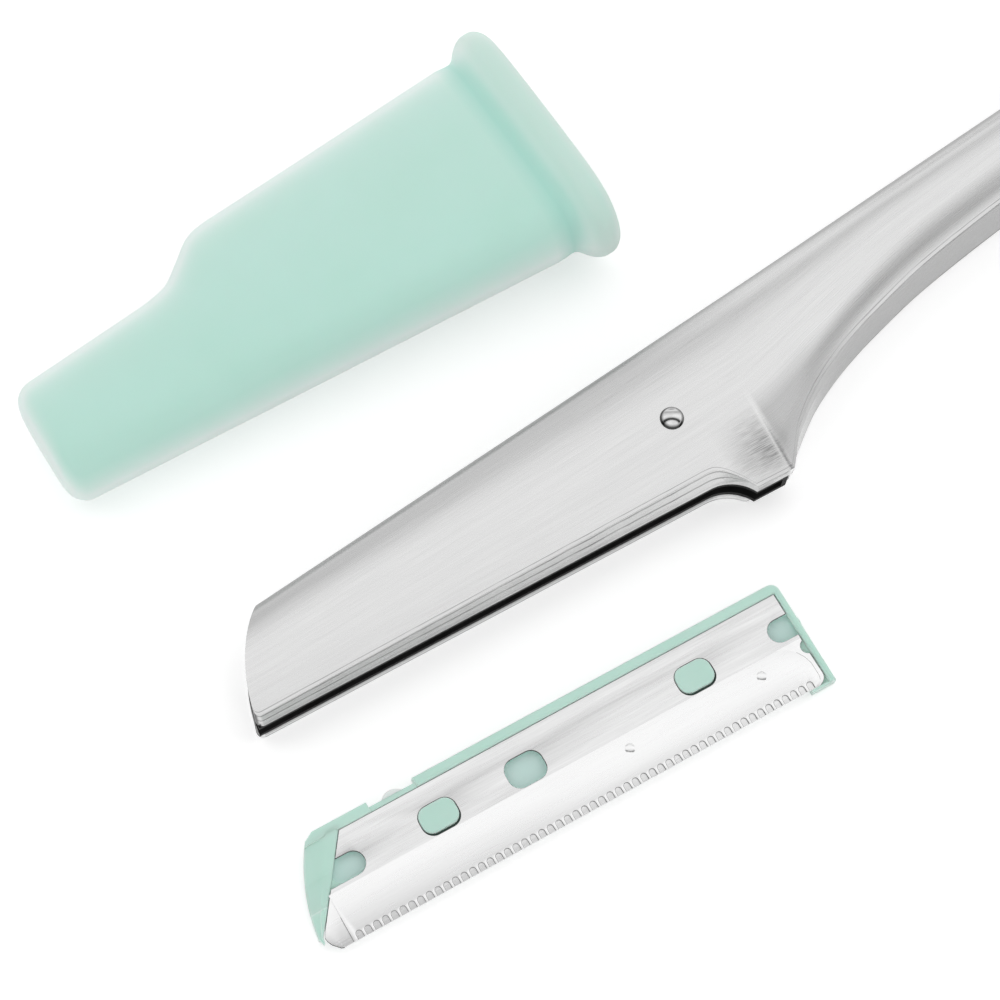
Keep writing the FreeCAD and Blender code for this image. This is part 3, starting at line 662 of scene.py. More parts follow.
def mint_plastic(name, shade, base, rim, rough, soft):
    """Mint plastic that lets a little light in, with a painted sheen that makes it paler where it turns
    away.
    """
    material, tree, shader = new_material(name, {
        "Metallic": 0.0, "Subsurface Weight": soft, "Subsurface Scale": MINT_SCATTER_REACH * MM,
        "Subsurface Radius": MINT_SCATTER, "Specular IOR Level": MINT_GLOSS})
    mottle, grain = moulded(tree, MINT_MOTTLE, MINT_GRAIN)
    # Painted sheen: the colour goes towards the rim colour where the surface turns away from the eye.
    turned = add_node(tree, "ShaderNodeLayerWeight", inputs={"Blend": 0.5}).outputs["Facing"]
    colour = blend_colour(tree, blend_colour(tree, (*shade, 1.0), (*base, 1.0), mottle), (*rim, 1.0),
                          remap(tree, turned, *MINT_SHEEN_FACING))
    finish_surface(tree, shader, colour, remap(tree, grain, *MOULD_RANGE, *rough),
                   grain, MINT_BUMP, MOULD_DEPTH)
    return material


def black_plastic(name, dark, light, rough):
    """The dull black of the slot's liner."""
    material, tree, shader = new_material(name, {"Metallic": 0.0, "Specular IOR Level": BLACK_GLOSS})
    mottle, grain = moulded(tree, BLACK_MOTTLE, BLACK_GRAIN)
    finish_surface(tree, shader, blend_colour(tree, dark, light, mottle),
                   remap(tree, grain, *MOULD_RANGE, *rough), grain, BLACK_BUMP, MOULD_DEPTH)
    return material


GROOVE_ALONG = (45.9, 47.4, 47.6, 48.9)
GROOVE_SHARE = 0.75
GROOVE_SHADE_TONE = (0.42, 0.76, 0.67, 1.0)
BEAD_ALONG = (48.4, 49.6)
BEAD_SHARE = 0.6
BEAD_HIGHLIGHT_TONE = (0.66, 0.83, 0.76, 1.0)


def paint_bead_shade_and_highlight(material):
    """Painted shade deepens the colour of the groove at the foot of the cap's bead, and a painted highlight
    makes the bead itself paler.
    """
    tree = material.node_tree
    x, y, _ = split_xyz(tree, millimetres(tree, SLEEVE))
    along = work_out(tree, "MULTIPLY_ADD", y, RIM_SLANT, x)
    tint(material, multiply(tree, band(tree, along, *GROOVE_ALONG), GROOVE_SHARE), GROOVE_SHADE_TONE)
    tint(material, remap(tree, along, *BEAD_ALONG, 0.0, BEAD_SHARE), BEAD_HIGHLIGHT_TONE)


# Each mint's rim colour is a painted sheen at the edges that turn away.
CAP_MINT = mint_plastic("cap mint", shade=(0.53, 0.82, 0.72), base=(0.55, 0.835, 0.745),
                        rim=(0.82, 0.94, 0.9), rough=(0.4, 0.48), soft=0.2)
paint_bead_shade_and_highlight(CAP_MINT)
UNIT_MINT = mint_plastic("unit mint", shade=(0.53, 0.79, 0.685), base=(0.57, 0.815, 0.715),
                         rim=(0.68, 0.87, 0.79), rough=(0.35, 0.45), soft=0.25)
# A paler mint for the pocket floors: painted light that lifts the shade inside them.
POCKET_LIT_MINT = mint_plastic("pocket painted light mint", shade=(0.62, 0.9, 0.83), base=(0.66, 0.92, 0.86),
                           rim=(0.7, 0.94, 0.88), rough=(0.35, 0.45), soft=0.25)
# A near-black mint for the plates in the stud holes: painted shade in the gaps round the studs.
STUD_GAP_SHADE_MINT = mint_plastic("stud gap painted shade", shade=(0.03, 0.06, 0.05), base=(0.04, 0.08, 0.06),
                        rim=(0.04, 0.08, 0.06), rough=(0.5, 0.6), soft=0.0)
NUB_CLEAR = mint_plastic("nub clear", shade=(0.8, 0.89, 0.86), base=(0.87, 0.94, 0.91),
                         rim=(0.95, 0.98, 0.96), rough=(0.2, 0.3), soft=0.4)
LINER_BLACK = black_plastic("liner black", dark=grey(0.008), light=grey(0.018), rough=(0.45, 0.65))


# Handle

HANDLE_LENGTH = 148.0
SPINE = (8.95, 0.1175)
SPINE_DROP = [(0.0, 0.0), (20.0, 0.12), (45.0, 0.3), (62.0, 0.4), (80.0, 0.45), (HANDLE_LENGTH, 0.3)]
TIP_RADIUS = 15.2
TIP_CENTRE = -1.72
TIP_FADE = 14.0
TIP_TOP = 11.0
TIP_CORNER = 0.6
SLOT_HALF = 1.2
SLOT_FLOOR = 8.1
CHIN_DROP = 2.05
CHIN_START = 45.2
HEEL_RADIUS = 3.64
HEEL_START = CHIN_START - math.sqrt(2 * HEEL_RADIUS * CHIN_DROP - CHIN_DROP ** 2)
NECK_CURVE = [(CHIN_END, -CHIN_DROP), (49.6, -1.1), (51.2, 0.25), (54.5, 2.65), (59.1, 4.8), (63.7, 6.3),
              (68.3, 7.55), (81.0, 9.85), (95.0, 12.01)]
GRIP_START = 95.0
GRIP_WIDTH = 8.1
BUTT_DEPTH = 3.4
BUTT_FLAT = 0.55
BELLY_HALF = [(0.0, 2.35), (24.0, 2.55), (48.7, 2.77), (68.3, 3.1), (95.0, 3.2), (HANDLE_LENGTH, 3.5)]
BELLY_HEIGHT = [(0.0, 3.7), (48.7, 6.6), (68.3, 12.7), (95.0, 16.3), (HANDLE_LENGTH, 22.5)]
FOOT_HEIGHT = [(0.0, -3.0), (46.0, -3.0), (50.5, 0.3), (54.5, 3.4), (59.1, 5.5), (63.7, 7.0), (68.3, 8.2),
               (81.0, 10.5), (95.0, 12.7), (HANDLE_LENGTH, 18.9)]
FOOT_HALF = [(0.0, 2.0), (44.0, 2.2), (50.0, 2.27), (55.0, 2.22), (62.0, 2.2), (70.0, 2.25), (95.0, 2.35),
             (HANDLE_LENGTH, 2.5)]
CROWN_POWER = 3
HOLLOW_REACH = [(CHIN_END, 1.9), (55.0, 2.6), (62.0, 3.2), (70.0, 3.6), (95.0, 3.6)]
HOLLOW_FULL = 50.0
TABLE_GAP = 0.02
PLUNGE_DEPTH = 0.16
PLUNGE_START = 40.5
PLUNGE_HEIGHT = (-2.0, 7.0)
CREASE_START = 48.35


def spine_at(x):
    return line_at(x, SPINE) - follow(x, SPINE_DROP)


def tip_at(y):
    """How far along the slot the rounded tip lies at a height above the mouth."""
    return math.sqrt(TIP_RADIUS ** 2 - TIP_CENTRE ** 2) - math.sqrt(TIP_RADIUS ** 2 - (y - TIP_CENTRE) ** 2)


def tip_corner_at(x):
    """How far the lip lies above the mouth's line where it rounds off at the tip."""
    if x >= TIP_CORNER:
        return 0.0
    return TIP_CORNER - math.sqrt(max(2 * TIP_CORNER * x - x * x, 0.0))


def along_at(station, y):
    """Where a ring lies along the slot at a height: the first rings lean with the rounded tip."""
    fade = max(1.0 - station / TIP_FADE, 0.0)
    return station + tip_at(min(y, TIP_TOP)) * fade * fade


def lower_edge_at(x):
    """The lower outline of the handle: lip, heel, chin, neck and grip."""
    if x <= HEEL_START:
        return 0.0
    if x <= CHIN_START:
        return math.sqrt(HEEL_RADIUS ** 2 - (x - HEEL_START) ** 2) - HEEL_RADIUS
    if x <= CHIN_END:
        return -CHIN_DROP
    if x <= GRIP_START:
        return follow(x, NECK_CURVE)
    return line_at(x, SPINE) - GRIP_WIDTH


def cheek_at(x, y, hollowed=1.0):
    """Half the handle's thickness at a place on its face, hollowed along the neck's lower edge."""
    belly, belly_y = follow(x, BELLY_HALF), follow(x, BELLY_HEIGHT)
    if y >= belly_y:
        share = min((y - belly_y) / (spine_at(x) - belly_y), 1.0)
        return belly * math.sqrt(max(1.0 - share ** CROWN_POWER, 0.0))
    foot_y = follow(x, FOOT_HEIGHT)
    share = (belly_y - y) / (belly_y - foot_y)
    hollow = 1.0 - smooth_step((y - foot_y) / follow(x, HOLLOW_REACH))
    drop = share * share + (hollow - share * share) * between(x, SLOT_END, HOLLOW_FULL) * hollowed
    return belly - (belly - follow(x, FOOT_HALF)) * drop


def back_at(x, y):
    """The back cheek, kept off the table that the handle lies on."""
    resting = (MOUTH.z + y * math.sin(ROLL)) / math.cos(ROLL) - TABLE_GAP
    return min(cheek_at(x, y, 0.0), resting)


def front_at(x, y):
    """The front cheek, which dips before the crease that ends its ground face at the neck."""
    low = 1.0 - between(y, *PLUNGE_HEIGHT)
    dip = low * between(x, PLUNGE_START, SLOT_END) * (1.0 - between(x, CREASE_START, CHIN_END))
    return cheek_at(x, y) - PLUNGE_DEPTH * dip


EDGE_BREAK = 0.08
LIP_LAND = 0.08
LIP_RISE = 0.5
LIP_GAIN = 0.4
LIP_END = 42.6
UNDERSIDE_LIFT = 0.85
UNDERSIDE_FULL = 51.5
BACK_CHIN = -1.5
BACK_GROOVE = 0.15
BACK_GROOVE_HALF = 0.12
LOW_ROWS = 14
HIGH_ROWS = 16
LEAN_ROUNDS = 3


def front_rows(station, foot):
    """The points up the front cheek of a ring, from a foot above its lip to just below the spine."""
    rows = []
    belly_low = follow(along_at(station, lower_edge_at(station)), BELLY_HEIGHT)
    for row in range(LOW_ROWS):
        y = foot + (belly_low - foot) * row / LOW_ROWS
        x = along_at(station, y)
        rows.append((x, y, front_at(x, y)))
    for row in range(HIGH_ROWS):
        x = along_at(station, spine_at(station))
        for _ in range(LEAN_ROUNDS):
            belly_y = follow(x, BELLY_HEIGHT)
            y = belly_y + (spine_at(x) - belly_y) * math.sin(math.pi / 2 * row / HIGH_ROWS)
            x = along_at(station, y)
        rows.append((x, y, cheek_at(x, y)))
    return rows


def handle_ring(station):
    """One ring of the handle, from the front edge of its slot over the spine to the back edge."""
    x_low = along_at(station, lower_edge_at(station))
    low = lower_edge_at(x_low) + tip_corner_at(x_low)
    bevel = 1.0 - between(x_low, LIP_END, CHIN_START)
    rise = EDGE_BREAK + (LIP_RISE + LIP_GAIN * x_low / HEEL_START) * bevel
    lift = UNDERSIDE_LIFT * between(x_low, CHIN_END, UNDERSIDE_FULL)
    plain = front_at(x_low, low + lift) - EDGE_BREAK
    ring = [(x_low, low + lift * (plain + SLOT_HALF) / (2 * plain), SLOT_HALF)]
    ring.append((x_low, low + lift, (SLOT_HALF + LIP_LAND) * bevel + plain * (1.0 - bevel)))
    front = front_rows(station, low + lift + rise)
    x = along_at(station, spine_at(station))
    for _ in range(LEAN_ROUNDS):
        x = along_at(station, spine_at(x))
    ring += front + [(x, spine_at(x), 0.0)]
    low_back = max(low, BACK_CHIN)
    for x, y, _ in reversed(front):
        y = max(y, low_back + EDGE_BREAK)
        ring.append((x, y, -back_at(x, y)))
    outer = back_at(x_low, low_back)
    inner = (outer - SLOT_HALF) / 2 + SLOT_HALF
    underside = [(0.0, outer - EDGE_BREAK), (0.0, inner + BACK_GROOVE_HALF), (BACK_GROOVE, inner),
                 (0.0, inner - BACK_GROOVE_HALF), (0.0, SLOT_HALF)]
    return ring + [(x_low, low_back + sunk, -depth) for sunk, depth in underside]


LIP_BEYOND = 9.0
LIP_SPAN = 0.8
GRAIN_GUIDE = [(0.0, 0.0), (30.0, 0.0), (48.0, 1.0), (56.0, 3.8), (68.3, 7.87), (81.0, 10.15), (95.0, 12.01),
               (HANDLE_LENGTH, 18.24)]
GRAIN_WIDTH = 12.0


def lip_share(ring, index):
    """How far a front point lies across the lip's bevel, 1 at its top, and past 1 on the cheek above it."""
    if index > len(ring) // 2:
        return LIP_BEYOND
    if index < 2:
        return index - 1.0
    return 1.0 + (ring[index][1] - ring[2][1]) / LIP_SPAN


def grain_at(point, front):
    """Where a point lies along and across the brushed grain, which bends with the neck."""
    x, y, z = point
    guide = follow(x, GRAIN_GUIDE)
    share = (y - guide) / (spine_at(x) - guide)
    sunk = follow(x, BELLY_HALF) - z
    if not front:
        return x, GRAIN_WIDTH * (2.0 - share) + sunk
    return x, GRAIN_WIDTH * share + (sunk if y > follow(x, BELLY_HEIGHT) else -sunk)


def butt_ring(ring, x):
    """A ring drawn in towards the middle of the grip where the butt rounds off."""
    share = min(max((x - (HANDLE_LENGTH - BUTT_DEPTH)) / BUTT_DEPTH, 0.0), 1.0)
    keep = math.sqrt(max(1.0 - share * share, 0.0))
    middle = spine_at(x) - GRIP_WIDTH / 2
    flat = BUTT_FLAT + (1.0 - BUTT_FLAT) * keep
    return [(px, middle + (py - middle) * keep, pz * flat) for px, py, pz in ring]


TIP_STATIONS = [0.0, 0.06, 0.15, 0.3, 0.45, TIP_CORNER] + spread(1.0, TIP_FADE, 14)
HEAD_STATIONS = spread(16.0, 40.0, 13) + spread(41.0, 45.0, 17)
CHIN_STATIONS = [CHIN_START, 45.8, 46.4, 47.0, 47.6, 48.0, SLOT_END, 48.5, CHIN_END, 48.85, 49.1, 49.5, 50.0]
GRIP_STATIONS = spread(51.0, 70.0, 20) + spread(72.0, 96.0, 13) + spread(100.0, 140.0, 11)
BUTT_SHARES = (0.0, 0.3, 0.55, 0.75, 0.88, 0.95, 0.985)
BUTT_STATIONS = [HANDLE_LENGTH - BUTT_DEPTH * (1.0 - share) for share in BUTT_SHARES]
HANDLE_STATIONS = TIP_STATIONS + HEAD_STATIONS + CHIN_STATIONS + GRIP_STATIONS + BUTT_STATIONS
HANDLE_SHARP = 28
BROKEN_EDGE = 0.05
BROKEN_ANGLE = 40


def handle_faces(rings, floors):
    """The faces of the handle: its skin, the walls and floor of its slot, and its two ends."""
    faces = []
    for number, (ring, after) in enumerate(zip(rings, rings[1:])):
        for index in range(len(ring) - 1):
            faces.append((ring[index], ring[index + 1], after[index + 1], after[index]))
        if number + 1 in floors:
            (front, back), (front_after, back_after) = floors[number], floors[number + 1]
            faces.append((ring[0], after[0], front_after, front))
            faces.append((front, front_after, back_after, back))
            faces.append((back, back_after, after[-1], ring[-1]))
        else:
            if number in floors:
                faces.append((ring[0], *floors[number], ring[-1]))
            faces.append((ring[-1], after[-1], after[0], ring[0]))
    faces.append((*reversed(rings[0]), *floors[0]))
    faces.append(tuple(rings[-1]))
    return faces


def make_handle():
    """The steel handle, skinned over rings along its length, with the slot open along its head."""
    points, grain, lip, rings, floors = [], [], [], [], {}
    for number, station in enumerate(HANDLE_STATIONS):
        ring = butt_ring(handle_ring(station), station)
        rings.append([len(points) + index for index in range(len(ring))])
        points += ring
        for index, point in enumerate(ring):
            grain.append(grain_at(point, index <= len(ring) // 2))
            lip.append((point[0], lip_share(ring, index)))
        if station <= SLOT_END:
            floor_x = along_at(station, SLOT_FLOOR)
            floors[number] = (len(points), len(points) + 1)
            points += [(floor_x, SLOT_FLOOR, SLOT_HALF), (floor_x, SLOT_FLOOR, -SLOT_HALF)]
            grain += [(floor_x, SLOT_FLOOR)] * 2
            lip += [(floor_x, LIP_BEYOND)] * 2
    piece = new_piece("handle", points, handle_faces(rings, floors), HEAD, HANDLE_STEEL,
                      {"grain": grain, "lip": lip})
    face_outward(piece, split_ends=True)
    piece.data.set_sharp_from_angle(angle=math.radians(HANDLE_SHARP))
    round_edges(piece, BROKEN_EDGE, BROKEN_ANGLE)
    return stand_for(piece, "handle_body", "handle")


PIN_X = 41.95
PIN_Y = 6.5
PIN_RADIUS = 1.025
PIN_FOOT = 0.7
PIN_SHOULDER = 2.65
PIN_DOME = 0.8
PIN_SIDES = 48
PIN_ROWS = 14
PIN_SHARP = 50


def make_pin():
    """The polished dome, turned about its own axis."""
    sphere = (PIN_RADIUS ** 2 + PIN_DOME ** 2) / (2 * PIN_DOME)
    top = PIN_SHOULDER + PIN_DOME
    profile = [(PIN_RADIUS, PIN_FOOT), (PIN_RADIUS, PIN_SHOULDER)]
    for angle in spread(math.asin(PIN_RADIUS / sphere), 0.0, PIN_ROWS)[1:-1]:
        profile.append((sphere * math.sin(angle), top - sphere + sphere * math.cos(angle)))
    points, grain = [], []
    for reach, height in profile:
        for index in range(PIN_SIDES):
            angle = 2 * math.pi * index / PIN_SIDES
            grain.append((reach * math.cos(angle), reach * math.sin(angle)))
            points.append((PIN_X + grain[-1][0], PIN_Y + grain[-1][1], height))
    faces = ring_faces(len(profile), PIN_SIDES)
    last_ring = len(points) - PIN_SIDES
    crown, sole = len(points), len(points) + 1
    points += [(PIN_X, PIN_Y, top), (PIN_X, PIN_Y, PIN_FOOT)]
    grain += [(0.0, 0.0), (0.0, 0.0)]
    for index in range(PIN_SIDES):
        after = (index + 1) % PIN_SIDES
        faces.append((last_ring + index, last_ring + after, crown))
        faces.append((after, index, sole))
    piece = new_piece("pin", points, faces, HEAD, PIN_STEEL, {"grain": grain})
    piece.data.set_sharp_from_angle(angle=math.radians(PIN_SHARP))
    return stand_for(piece, "liner_pin", "handle")


# Cap

CAP_WALL = 1.05
CAP_UNDERSIDE = (0.5, -0.0125)
NOSE_SPINE = (11.7, 0.13)
BODY_SPINE = (15.4, 0.115)
CAP_STEP = [(13.4, 0.0), (15.4, 0.08), (17.4, 0.46), (19.1, 0.85), (20.1, 0.965), (21.2, 1.0)]
CAP_THICKNESS = [(0.0, 7.6), (13.4, 7.7), (20.1, 8.3), (51.4, 8.4)]
CAP_BEAD = [(46.5, 0.0), (47.1, -0.14), (47.6, -0.16), (48.2, 0.12), (48.8, 0.75), (49.3, 1.13),
            (49.9, 1.33), (50.5, 1.3), (51.0, 1.05), (51.3, 0.7), (51.4, 0.3)]
CAP_SQUARENESS = 4.0
NOSE_FLAT = 0.05
NOSE_ROUND = 1.7
NOSE_DRAW = 2.0
NOSE_SHARES = (0.06, 0.3, 0.55, 0.78, 0.92)
NOSE_ROWS = 8
NOSE_SLANT = 0.03
NOSE_SLANT_END = 12.0
RIM_BACK = 0.35
RIM_LEAN = (26.0, 50.0)
RING_POINTS = 72
OUTER_STATIONS = spread(3.0, 13.0, 8) + spread(13.6, 21.6, 17) + spread(23.5, 46.0, 12)
BEAD_STATIONS = spread(46.8, 50.8, 17) + [51.0, 51.2, 51.3, 51.37, 51.4]
MOUTH_TURN = [(51.4, 0.0), (51.35, -0.35), (51.1, -0.6), (50.4, -0.75), (49.4, -0.9), (47.9, -CAP_WALL)]
INNER_STATIONS = spread(45.5, 22.0, 10) + spread(21.2, 13.6, 12) + spread(12.0, 3.2, 6)
INNER_NOSE = [(2.4, -1.15), (1.8, -1.5), (1.5, -2.2), (1.45, -3.2)]


def cap_ring(x, out):
    """A cross-section of the cap, standing out all round by an amount."""
    step = follow(x, CAP_STEP)
    low = line_at(x, CAP_UNDERSIDE) - out
    high = line_at(x, NOSE_SPINE) * (1.0 - step) + line_at(x, BODY_SPINE) * step + out
    half = follow(x, CAP_THICKNESS) / 2 + out
    middle, reach = (low + high) / 2, (high - low) / 2 - half
    ring = []
    for index in range(RING_POINTS):
        angle = 2 * math.pi * index / RING_POINTS
        y, z = math.cos(angle), math.sin(angle)
        y = half * y + reach * math.tanh(CAP_SQUARENESS * y) / math.tanh(CAP_SQUARENESS)
        lean = NOSE_SLANT * (high - middle - y) * (1.0 - between(x, 0.0, NOSE_SLANT_END))
        lean -= (RIM_SLANT * y + RIM_BACK) * between(x, *RIM_LEAN)
        ring.append((x + lean, middle + y, half * z))
    return ring


def make_cap():
    """The hollow sleeve: out over the nose, along the outside to the bead, and back along the inside."""
    course = []
    for share in NOSE_SHARES:
        course.append((NOSE_FLAT * (1.0 - share), -NOSE_ROUND - NOSE_DRAW * (1.0 - share)))
    for turn in spread(0.0, math.pi / 2, NOSE_ROWS):
        course.append((NOSE_ROUND * (1.0 - math.cos(turn)) + NOSE_FLAT, NOSE_ROUND * (math.sin(turn) - 1.0)))
    course += [(x, 0.0) for x in OUTER_STATIONS]
    course += [(x, follow(x, CAP_BEAD)) for x in BEAD_STATIONS]
    course += MOUTH_TURN + [(x, -CAP_WALL) for x in INNER_STATIONS] + INNER_NOSE
    points = [point for x, out in course for point in cap_ring(x, out)]
    faces = ring_faces(len(course), RING_POINTS)
    faces.append(tuple(reversed(range(RING_POINTS))))
    faces.append(tuple(range(len(points) - RING_POINTS, len(points))))
    piece = new_piece("cap_sleeve", points, faces, SLEEVE, CAP_MINT)
    face_outward(piece)
    piece.visible_glossy = False
    return stand_for(piece, "cap", "cap")


# Blade unit, with heights above the mouth where it sits in the slot

EDGE = -1.8
UNIT_TOP = 7.5
UNIT_END = 46.5
UNIT_HALF = 0.6
PLATE_TOP = 0.15
BLADE_TOP = 0.4
GUARD_TOP = 0.5
CORNER = 0.8
CORNER_STEPS = 7
WALL_LOWER = -0.35
WALL_UPPER = 7.1
BLADE_UPPER = 6.57
BLADE_END = 45.82
BLADE_LEFT = 0.5
BLADE_SLANT = 5.07
BLADE_ROUND = 0.02
BLADE_BEND = 0.2
BLADE_POINT = [(0.52, -0.4), (0.56, -0.75), (0.75, -1.15), (1.25, -1.7), (1.5, EDGE)]
GROUND_EDGE = 0.05
HOLE_HEIGHT = 3.7
HOLE_SIZE = (3.34, 2.54)
HOLE_CORNER = 1.0
STUD_PLACES = (12.98, 36.6)
OPEN_HOLE = 20.85
NOTCH_RADIUS = 1.0
LEFT_NOTCH = 1.8
RIGHT_NOTCH = 1.2
NOTCH_POINTS = 13
RELIEF = (BLADE_END + 0.12, 1.5)
RELIEF_RADIUS = 0.6
RELIEF_ARC = (255, 105)
RELIEF_POINTS = 9


def blade_left(y):
    """The blade's slanted left end at a height above the mouth."""
    return BLADE_LEFT + BLADE_SLANT * (y - WALL_LOWER) / (BLADE_UPPER - WALL_LOWER)


def left_notch():
    """The outline of the round notch in the blade's left end, from the top."""
    high, low = HOLE_HEIGHT + NOTCH_RADIUS, HOLE_HEIGHT - NOTCH_RADIUS
    end = (blade_left(HOLE_HEIGHT) + LEFT_NOTCH, HOLE_HEIGHT)
    arc = arc_points(end, NOTCH_RADIUS, 90, -90, NOTCH_POINTS)
    return [(blade_left(high), high)] + arc + [(blade_left(low), low)]


def right_notch():
    """The outline of the round notch in the blade's right end, from below."""
    high, low = HOLE_HEIGHT + NOTCH_RADIUS, HOLE_HEIGHT - NOTCH_RADIUS
    end = (BLADE_END - RIGHT_NOTCH, HOLE_HEIGHT)
    arc = arc_points(end, NOTCH_RADIUS, 270, 90, NOTCH_POINTS)
    return [(BLADE_END, low)] + arc + [(BLADE_END, high)]


def make_blade():
    """The steel blade, with its cut sides painted near-black as shade everywhere but at its ground edge."""
    outline = [(blade_left(BLADE_UPPER), BLADE_UPPER)] + left_notch()
    outline += [(blade_left(BLADE_BEND), BLADE_BEND)] + BLADE_POINT
    outline += arc_points((BLADE_END - CORNER, EDGE + CORNER), CORNER, 270, 360, CORNER_STEPS)
    outline += arc_points(RELIEF, RELIEF_RADIUS, *RELIEF_ARC, RELIEF_POINTS)
    outline += right_notch() + [(BLADE_END, BLADE_UPPER)]
    holes = [rounded_box((x, HOLE_HEIGHT), *HOLE_SIZE, HOLE_CORNER) for x in STUD_PLACES + (OPEN_HOLE,)]
    shape = bmesh.new()
    add_prism(shape, [outline] + holes, PLATE_TOP, BLADE_TOP, BLADE_ROUND, UNIT, side=1)
    to_unit = UNIT.inverted()
    for face in shape.faces:
        if (to_unit @ face.calc_center_median()).y < EDGE + GROUND_EDGE:
            face.material_index = 0
    piece = finish_shape("blade_plate", shape, [BLADE_STEEL, CUT_SIDE_SHADE_STEEL])
    return stand_for(piece, "blade", "cartridge")


GUARD_START = 2.35
GUARD_END = 45.42
GUARD_ROUND = 0.015
GUARD_CORNER_ARC = (300, 360)
GUARD_CORNER_POINTS = 5
GUARD_SHOULDER = [(0.0, 0.1), (0.18, 0.75), (0.6, 1.45), (1.3, 2.05), (2.2, EDGE_HALF)]
ARCH_PITCH = 0.78
ARCH_HALF = 0.28
ARCH_CROWN = -1.12
ARCH_POINTS = 9
FIRST_ARCH = 3.0
ARCH_COUNT = 54
LINE_RADIUS = 0.024
LINE_SINK = 0.02
LEFT_LINE_TOP = 0.4
RIGHT_LINE = slice(3, 9)
DIMPLES = (UNIT_END - 17.55, UNIT_END - 5.2)
DIMPLE_HEIGHT = EDGE + 2.9
DIMPLE_RADIUS = 0.42
DIMPLE_RISE = 0.1


def make_guard():
    """The thin guard over the edge, with a thin bead round each arch painted dark as the shade at its edge,
    and two pressed dimples.
    """
    shape = bmesh.new()
    outline, edges = [(GUARD_START, EDGE)], []
    for number in range(ARCH_COUNT):
        middle = FIRST_ARCH + ARCH_PITCH * number
        crown = arc_points((middle, ARCH_CROWN - ARCH_HALF), ARCH_HALF, 180, 0, ARCH_POINTS)
        edges.append([(middle - ARCH_HALF, EDGE)] + crown + [(middle + ARCH_HALF, EDGE)])
        outline += edges[-1]
    right = [(GUARD_END - CORNER, EDGE)]
    corner = (GUARD_END - CORNER, EDGE + CORNER)
    right += arc_points(corner, CORNER, *GUARD_CORNER_ARC, GUARD_CORNER_POINTS)
    right += [(GUARD_END - inset, y) for inset, y in GUARD_SHOULDER]
    outline += right + [(GUARD_START, EDGE_HALF)]
    edges += [right[RIGHT_LINE], [(GUARD_START, LEFT_LINE_TOP), (GUARD_START, EDGE)]]
    add_prism(shape, [outline], BLADE_TOP, GUARD_TOP, GUARD_ROUND, UNIT)
    # Beads along the arches' edges and the guard's ends, in near-black steel as painted shade.
    for edge in edges:
        add_tube(shape, [(x, y, GUARD_TOP - LINE_SINK) for x, y in edge], LINE_RADIUS, UNIT, material=1)
    for x in DIMPLES:
        add_dome(shape, (x, DIMPLE_HEIGHT, GUARD_TOP), DIMPLE_RADIUS, DIMPLE_RISE, UNIT)
    piece = finish_shape("guard", shape, [GUARD_STEEL, ARCH_EDGE_SHADE_STEEL])
    return stand_for(piece, "guard_strip", "cartridge")


RECESS_FLOOR = -0.12
BLADE_FIT = 0.08
WALL_GAP = 0.1
WALL_POINTS = 12
WALL_FOOT = 0.45
WALL_FOOT_LEAN = 0.35
WALL_LEAST = 0.12
WALL_SOLE = PLATE_TOP - 0.1
WALL_ACROSS = [(0.0, 0.2), (0.05, 0.38), (0.12, 0.45), (0.55, 0.5), (0.62, 0.6), (0.9, 0.58), (1.0, 0.5)]
WALL_BANDS = [(-0.35, -0.04), (1.5, 0.04), (1.7, -0.14), (3.7, -0.06), (3.9, 0.03), (7.1, 0.0)]
WALL_ROWS = spread(WALL_LOWER - WALL_FOOT, 1.5, 6) + spread(1.55, 1.7, 3) + spread(2.1, 3.4, 4)
WALL_ROWS += spread(3.75, 3.9, 3) + spread(4.3, 7.0, 8)


def wall_outside(y):
    """The holder's left end, which follows the rounded tip of the head."""
    return tip_at(y) + WALL_GAP


def add_end_wall(shape):
    """The left end wall: a ridge beside the blade, a lower outer slope and a shallow band pressed across."""
    rows = []
    for y in WALL_ROWS:
        outside = wall_outside(max(y, WALL_LOWER)) + max(WALL_LOWER - y, 0.0) * WALL_FOOT_LEAN
        inside = max(blade_left(y) - BLADE_FIT, outside + WALL_LEAST)
        sink = follow(y, WALL_BANDS)
        row = [(outside, y, RECESS_FLOOR)]
        row += [(outside + (inside - outside) * share, y, height + sink) for share, height in WALL_ACROSS]
        row.append((inside, y, WALL_SOLE))
        rows.append([shape.verts.new(UNIT @ Vector(point)) for point in row])
    join_rings(shape, rows, closed=False)
    shape.faces.new(rows[0])
    shape.faces.new(rows[-1])


NUB, POCKET_LIT, STUD_GAP_SHADE = 1, 2, 3
UNDERCUT = 0.06
SKIN = 0.1
PLATE_LOWER = 0.4
TAB_START = 44.3
TAB_LOWER = -2.05
TAB_LAP = 0.1
TAB_GAP = 0.04
TAB_ROUND = 0.04
STRIP_START = 45.9
STRIP_ROUND = 0.28
RIB_LOWER = 6.65
RIB_LEVEL = BLADE_UPPER + 0.03
RIB_INSET = 0.1
RIB_ROUND = 0.16
POCKET_WIDTH = 3.2
POCKET_INSET = 0.5
NOTCH_POCKETS = (blade_left(HOLE_HEIGHT) + 1.4, BLADE_END - 0.8)
SNAP_LEFT = 8.5
SNAP_RIGHT = 12.6
SNAP_FLOOR = 7.05
SNAP_LAP = 0.05
SNAP_TOP = BLADE_TOP + 0.05
SNAP_ROUND = 0.08
GAP_RISE = 0.05
STUD_HEIGHT = HOLE_HEIGHT + 0.09
STUD_SIZE = (HOLE_SIZE[0] - 0.14, HOLE_SIZE[1] - 0.24)
STUD_CORNER = 0.9
STUD_TOP = BLADE_TOP + 0.1
STUD_ROUND = 0.12
NUB_CENTRE = ((SNAP_LEFT + SNAP_RIGHT) / 2, SNAP_FLOOR - 0.72)
